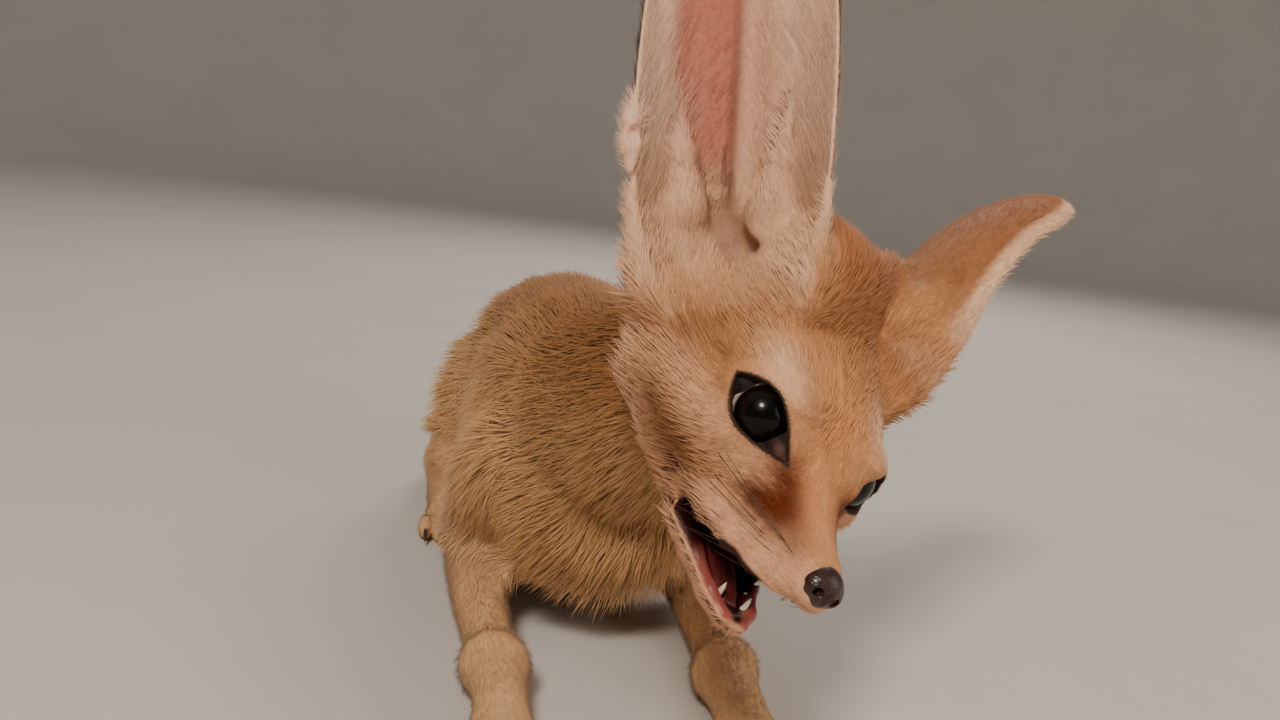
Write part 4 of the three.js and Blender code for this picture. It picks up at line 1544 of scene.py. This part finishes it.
def hair_way(p, normal):
    """The lie of the coat on the head."""
    way = np.tile([-1.0, 0.0, 0.0], (len(p), 1))
    side = np.sign(p[:, 1])[:, None]
    low = ease(4, -12, p[:, 2])[:, None]
    way = way + low * np.array([0.0, 0.0, -0.22]) + low * side * np.array([0.0, 0.3, 0.0])
    way = way + (ease(24, 4, p[:, 0]) * ease(2, 12, p[:, 2]))[:, None] * side * np.array([0.0, 0.18, 0.1])
    for name, s in SIDES.items():
        gap = lid_gap(p, s)
        along, across, out = lid_place(p, s)
        near = (np.exp(-np.maximum(gap, 0) / 3.5) * ease(-2, 2, out))[:, None]
        away = lid_away(p, s)
        toward = np.minimum(0, np.sum(way * away, -1, keepdims=True))
        way = way + near * (0.35 - 1.3 * toward) * away
        root, axis = ear_axes(name)[:2]
        close = np.exp(-((np.linalg.norm(p - root - 8 * axis, axis=1) / 21) ** 2))[:, None]
        way = way * (1 - close) + close * axis * 1.2
    return along_skin(way, normal)


def head_bald(p, normal):
    """True where the head has no hair: lids, nose and the lining of the mouth."""
    x, y, z = p.T
    shut = jaw_turn(p, back=True)
    roof = (normal[:, 2] < -0.2) & (z > -25.5) & (z < -19) & (x > 6) & (np.abs(y) < 12)
    tray = (normal @ JAW_UP > 0.25) & (shut[:, 2] > -27.0) & (x > 0) & (z < -21.5)
    deep = ball(p, (13, 0, -24.4), (18.5, 12, 4.2)) < 0
    bald = roof | tray | deep | (np.linalg.norm(p - NOSE_MIDDLE + (1.2, 0, -0.4), axis=1) < 5.4)
    for name in EARS:
        bald |= line_distance(p, ear_fold(name)) < 2.6
    for s in (RIGHT, LEFT):
        bald |= (lid_gap(p, s) < 0.45) & (lid_place(p, s)[2] > 0)
    return bald


def head_locks():
    points, faces = head.surface()
    density = lambda p: 1 / head_hair(p) ** 1.6
    p = random_roots(points, faces, HEAD_LOCKS, density)
    normal = head.slope(p)
    keep = ~head_bald(p, normal)
    p, normal = p[keep], normal[keep]
    count = len(p)
    length = head_hair(p) * random.uniform(0.75, 1.25, count)
    way = hair_way(p, normal)
    stray = random.normal(0, 0.11, (count, 3)) + 0.16 * blotch(p)[:, None] * np.cross(normal, way)
    way = along_skin(way + stray, normal)
    colour = head_colour(p) * tones(count, 0.10)
    return Locks(
        root=from_head(p),
        normal=normal @ HEAD_AXES.T,
        way=way @ HEAD_AXES.T,
        length=length,
        width=0.12 + 0.020 * length,
        rise=length * random.uniform(0.12, 0.34, count),
        lean=clump_pull(p, normal, length, 3.4, 0.3, 21) @ HEAD_AXES.T,
        colour=colour,
        tip=colour * 1.06,
        part=(jaw_turn(p, back=True)[:, 2] < -22.5) & (p[:, 0] > -6),
    )


TAIL_STRETCHES = 9  # each has its own row on the map


def body_part(p, weights):
    """Numbers of parts that each unfold without overlap: trunk, upper legs, limbs, tail stretches."""
    kinds = np.array(list(weights))
    number = np.stack([weights[k] for k in kinds]).argmax(0)
    kind = kinds[number]
    part = np.where(np.isin(kind, ("trunk", "neck", "head")), 100, 2 * number + (p[:, 0] < SHIFT[0]))
    stretch = 200 + np.floor(tail_place(p)[0] * TAIL_STRETCHES)
    return np.where(np.isin(kind, TAIL_KINDS), stretch, part)


def body_density(p):
    weights = node_weights(p)
    return (1 + 1.2 * weight_of(weights, TAIL_KINDS)) / coat_mean(weights, 1) ** 0.7


def body_locks():
    points, faces = body.surface()
    p = random_roots(points, faces, BODY_LOCKS, body_density)
    normal = body.slope(p, 2.0)
    weights = node_weights(p)
    tail = weight_of(weights, TAIL_KINDS)
    count = len(p)
    length = coat_mean(weights, 1) * random.uniform(0.8, 1.2, count)
    lie = sum(weights[kind][:, None] * np.array(row[2], float) for kind, row in COAT.items())
    way = along_skin(lie + tail[:, None] * tail_place(p)[1], normal)
    stray = random.normal(0, 0.17, (count, 3)) + 0.22 * blotch(p / 1.8)[:, None] * np.cross(normal, way)
    length = length * (1 - 0.35 * ease(45, 15, p[:, 2]) * (weights["trunk"] + weights["upper_foreleg"]))
    rise = coat_mean(weights, 0) * random.uniform(0.35, 0.85, count)
    way = along_skin(way + stray, normal)
    colour = body_colour(p, weights) * tones(count, 0.08)
    back = ease(66, 96, p[:, 2]) * (random.uniform(size=count) < 0.22)
    return Locks(
        root=p,
        normal=normal,
        way=way,
        length=length,
        width=0.13 + 0.013 * length,
        rise=rise * (1 + 0.45 * tail),
        lean=clump_pull(p, normal, length, 5.0, 0.16, 22),
        colour=colour,
        tip=mix(colour * 1.05, colour * 0.66, 0.6 * back),
        part=body_part(p, weights),
    ), weights


def toe_locks():
    """Very short hair on the toes."""
    roots, normals = [], []
    for middle, radii, k in toes():
        way = unit(random.normal(size=(TOE_LOCKS, 3)) + (0, 0, 0.5))
        roots.append(middle + way * radii)
        normals.append(unit(way / radii))
    p, normal = np.concatenate(roots), np.concatenate(normals)
    keep = (p[:, 2] > 1.2) & (normal[:, 1] > -0.93)
    p, normal = p[keep], normal[keep]
    count = len(p)
    colour = body_colour(p) * tones(count, 0.08)
    length = random.uniform(1.6, 2.8, count)
    return Locks(
        root=p,
        normal=normal,
        way=along_skin(np.array([0.0, -1.0, -0.1]) + random.normal(0, 0.12, (count, 3)), normal),
        length=length,
        width=np.full(count, 0.24),
        rise=length * random.uniform(0.1, 0.3, count),
        lean=np.zeros((count, 3)),
        colour=colour,
        tip=colour * 1.04,
        part=np.floor((p[:, 0] - p[:, 0].min()) / 5) + 100 * (p[:, 1] > SHIFT[1] - 50),
    )


def ear_locks(name):
    """Short hair on the back of an ear and at its rim, and longer pale hair inside."""
    count = EAR_LOCKS
    t = random.uniform(0.04, 1, count)
    a = random.uniform(-1, 1, count)
    kind = random.uniform(size=count)
    rim = kind < 0.12
    inner = (kind >= 0.12) & (kind < 0.6)
    a = np.where(rim, np.sign(a) * (1 - 0.06 * np.abs(random.normal(size=count))), a)
    a = np.where(inner, np.sign(a) * (1 - 0.95 * random.uniform(size=count) ** 1.2), a)
    t = np.where(inner, 0.10 + 0.86 * t**1.15, t)
    keep = ~inner | (ear_pink(t, a * CROWNWARD[name]) < random.uniform(0.1, 1.2, count))
    t, a, rim, inner = t[keep], a[keep], rim[keep], inner[keep]
    count = len(t)
    here, outward = ear_point(name, t, a)
    up = unit(ear_point(name, np.minimum(t + 0.02, 1.0) + 1e-4, a)[0] - here)
    around = unit(ear_point(name, t, a + 0.02)[0] - here)
    away = np.sign(a)[:, None] * around
    normal = np.where(inner[:, None], -outward, outward)
    way = np.where(rim[:, None], up + 0.45 * away, up)
    slant = random.uniform(-0.1, 0.5, (count, 1)) + 0.25 * blotch(here)[:, None]
    way = np.where(inner[:, None], up - slant * away, way)
    normal = np.where(rim[:, None], unit(outward + 0.3 * away), normal)
    way = along_skin(way + random.normal(0, 0.12, (count, 3)), normal)
    length = np.where(inner, 4.5 + 7.5 * ease(0.9, 0.15, t) * ease(0.1, 0.6, np.abs(a)), 3.4)
    length = length * random.uniform(0.6, 1.25, count) * (1 - 0.45 * ease(0.7, 1, t))
    colour = ear_colour(t, a * CROWNWARD[name], np.where(inner, -1.0, 1.0))
    colour = mix(colour, WHITE_HAIR, np.where(rim, 0.75, 0))
    colour = colour * tones(count, 0.08)
    root = here + normal * np.where(rim, 0.3, 0.85)[:, None]
    return Locks(
        root=from_head(root),
        normal=normal @ HEAD_AXES.T,
        way=way @ HEAD_AXES.T,
        length=length,
        width=np.where(inner, 0.11 + 0.010 * length, 0.15 + 0.02 * length),
        rise=length * random.uniform(0.06, 0.25, count) * np.where(inner | rim, 1.0, 1.7),
        lean=clump_pull(here, normal, length, 4.0, 0.2, 23) @ HEAD_AXES.T,
        colour=colour,
        tip=colour * 1.04,
        part=inner,
    )


def make_coat():
    """The coat in pieces: the shortest hair is straight, the longer hair bends once."""
    locks = head_locks()
    place = to_head(locks.root)
    right = place[:, 1] < 0
    short = locks.length < 4.6
    high = place[:, 2] > 8
    lock_mesh("coat_face_right", locks.only(right & short), STRAIGHT)
    lock_mesh("coat_face_left", locks.only(~right & short), STRAIGHT)
    lock_mesh("coat_crown", locks.only(high & ~short), BENT)
    lock_mesh("coat_cheek_right", locks.only(right & ~high & ~short), BENT)
    lock_mesh("coat_cheek_left", locks.only(~right & ~high & ~short), BENT)
    for name in EARS:
        lock_mesh("coat_ear_" + name, ear_locks(name), STRAIGHT)
    locks, weights = body_locks()
    tail = weight_of(weights, TAIL_KINDS) > 0.5
    small = weight_of(weights, LIMB_KINDS) > 0.5
    right = locks.root[:, 0] < SHIFT[0]
    lock_mesh("coat_tail", locks.only(tail), BENT)
    lock_mesh("coat_forelegs", locks.only(small & (locks.root[:, 1] < SHIFT[1])), STRAIGHT)
    lock_mesh("coat_hindlegs", locks.only(small & (locks.root[:, 1] >= SHIFT[1])), STRAIGHT)
    lock_mesh("coat_toes", toe_locks(), STRAIGHT)
    fore = locks.root[:, 1] < SHIFT[1] + 20
    for end, there in (("fore", fore), ("rear", ~fore)):
        for side, here in (("right", right), ("left", ~right)):
            lock_mesh(f"coat_{end}_{side}", locks.only(~tail & ~small & here & there), BENT)


make_coat()
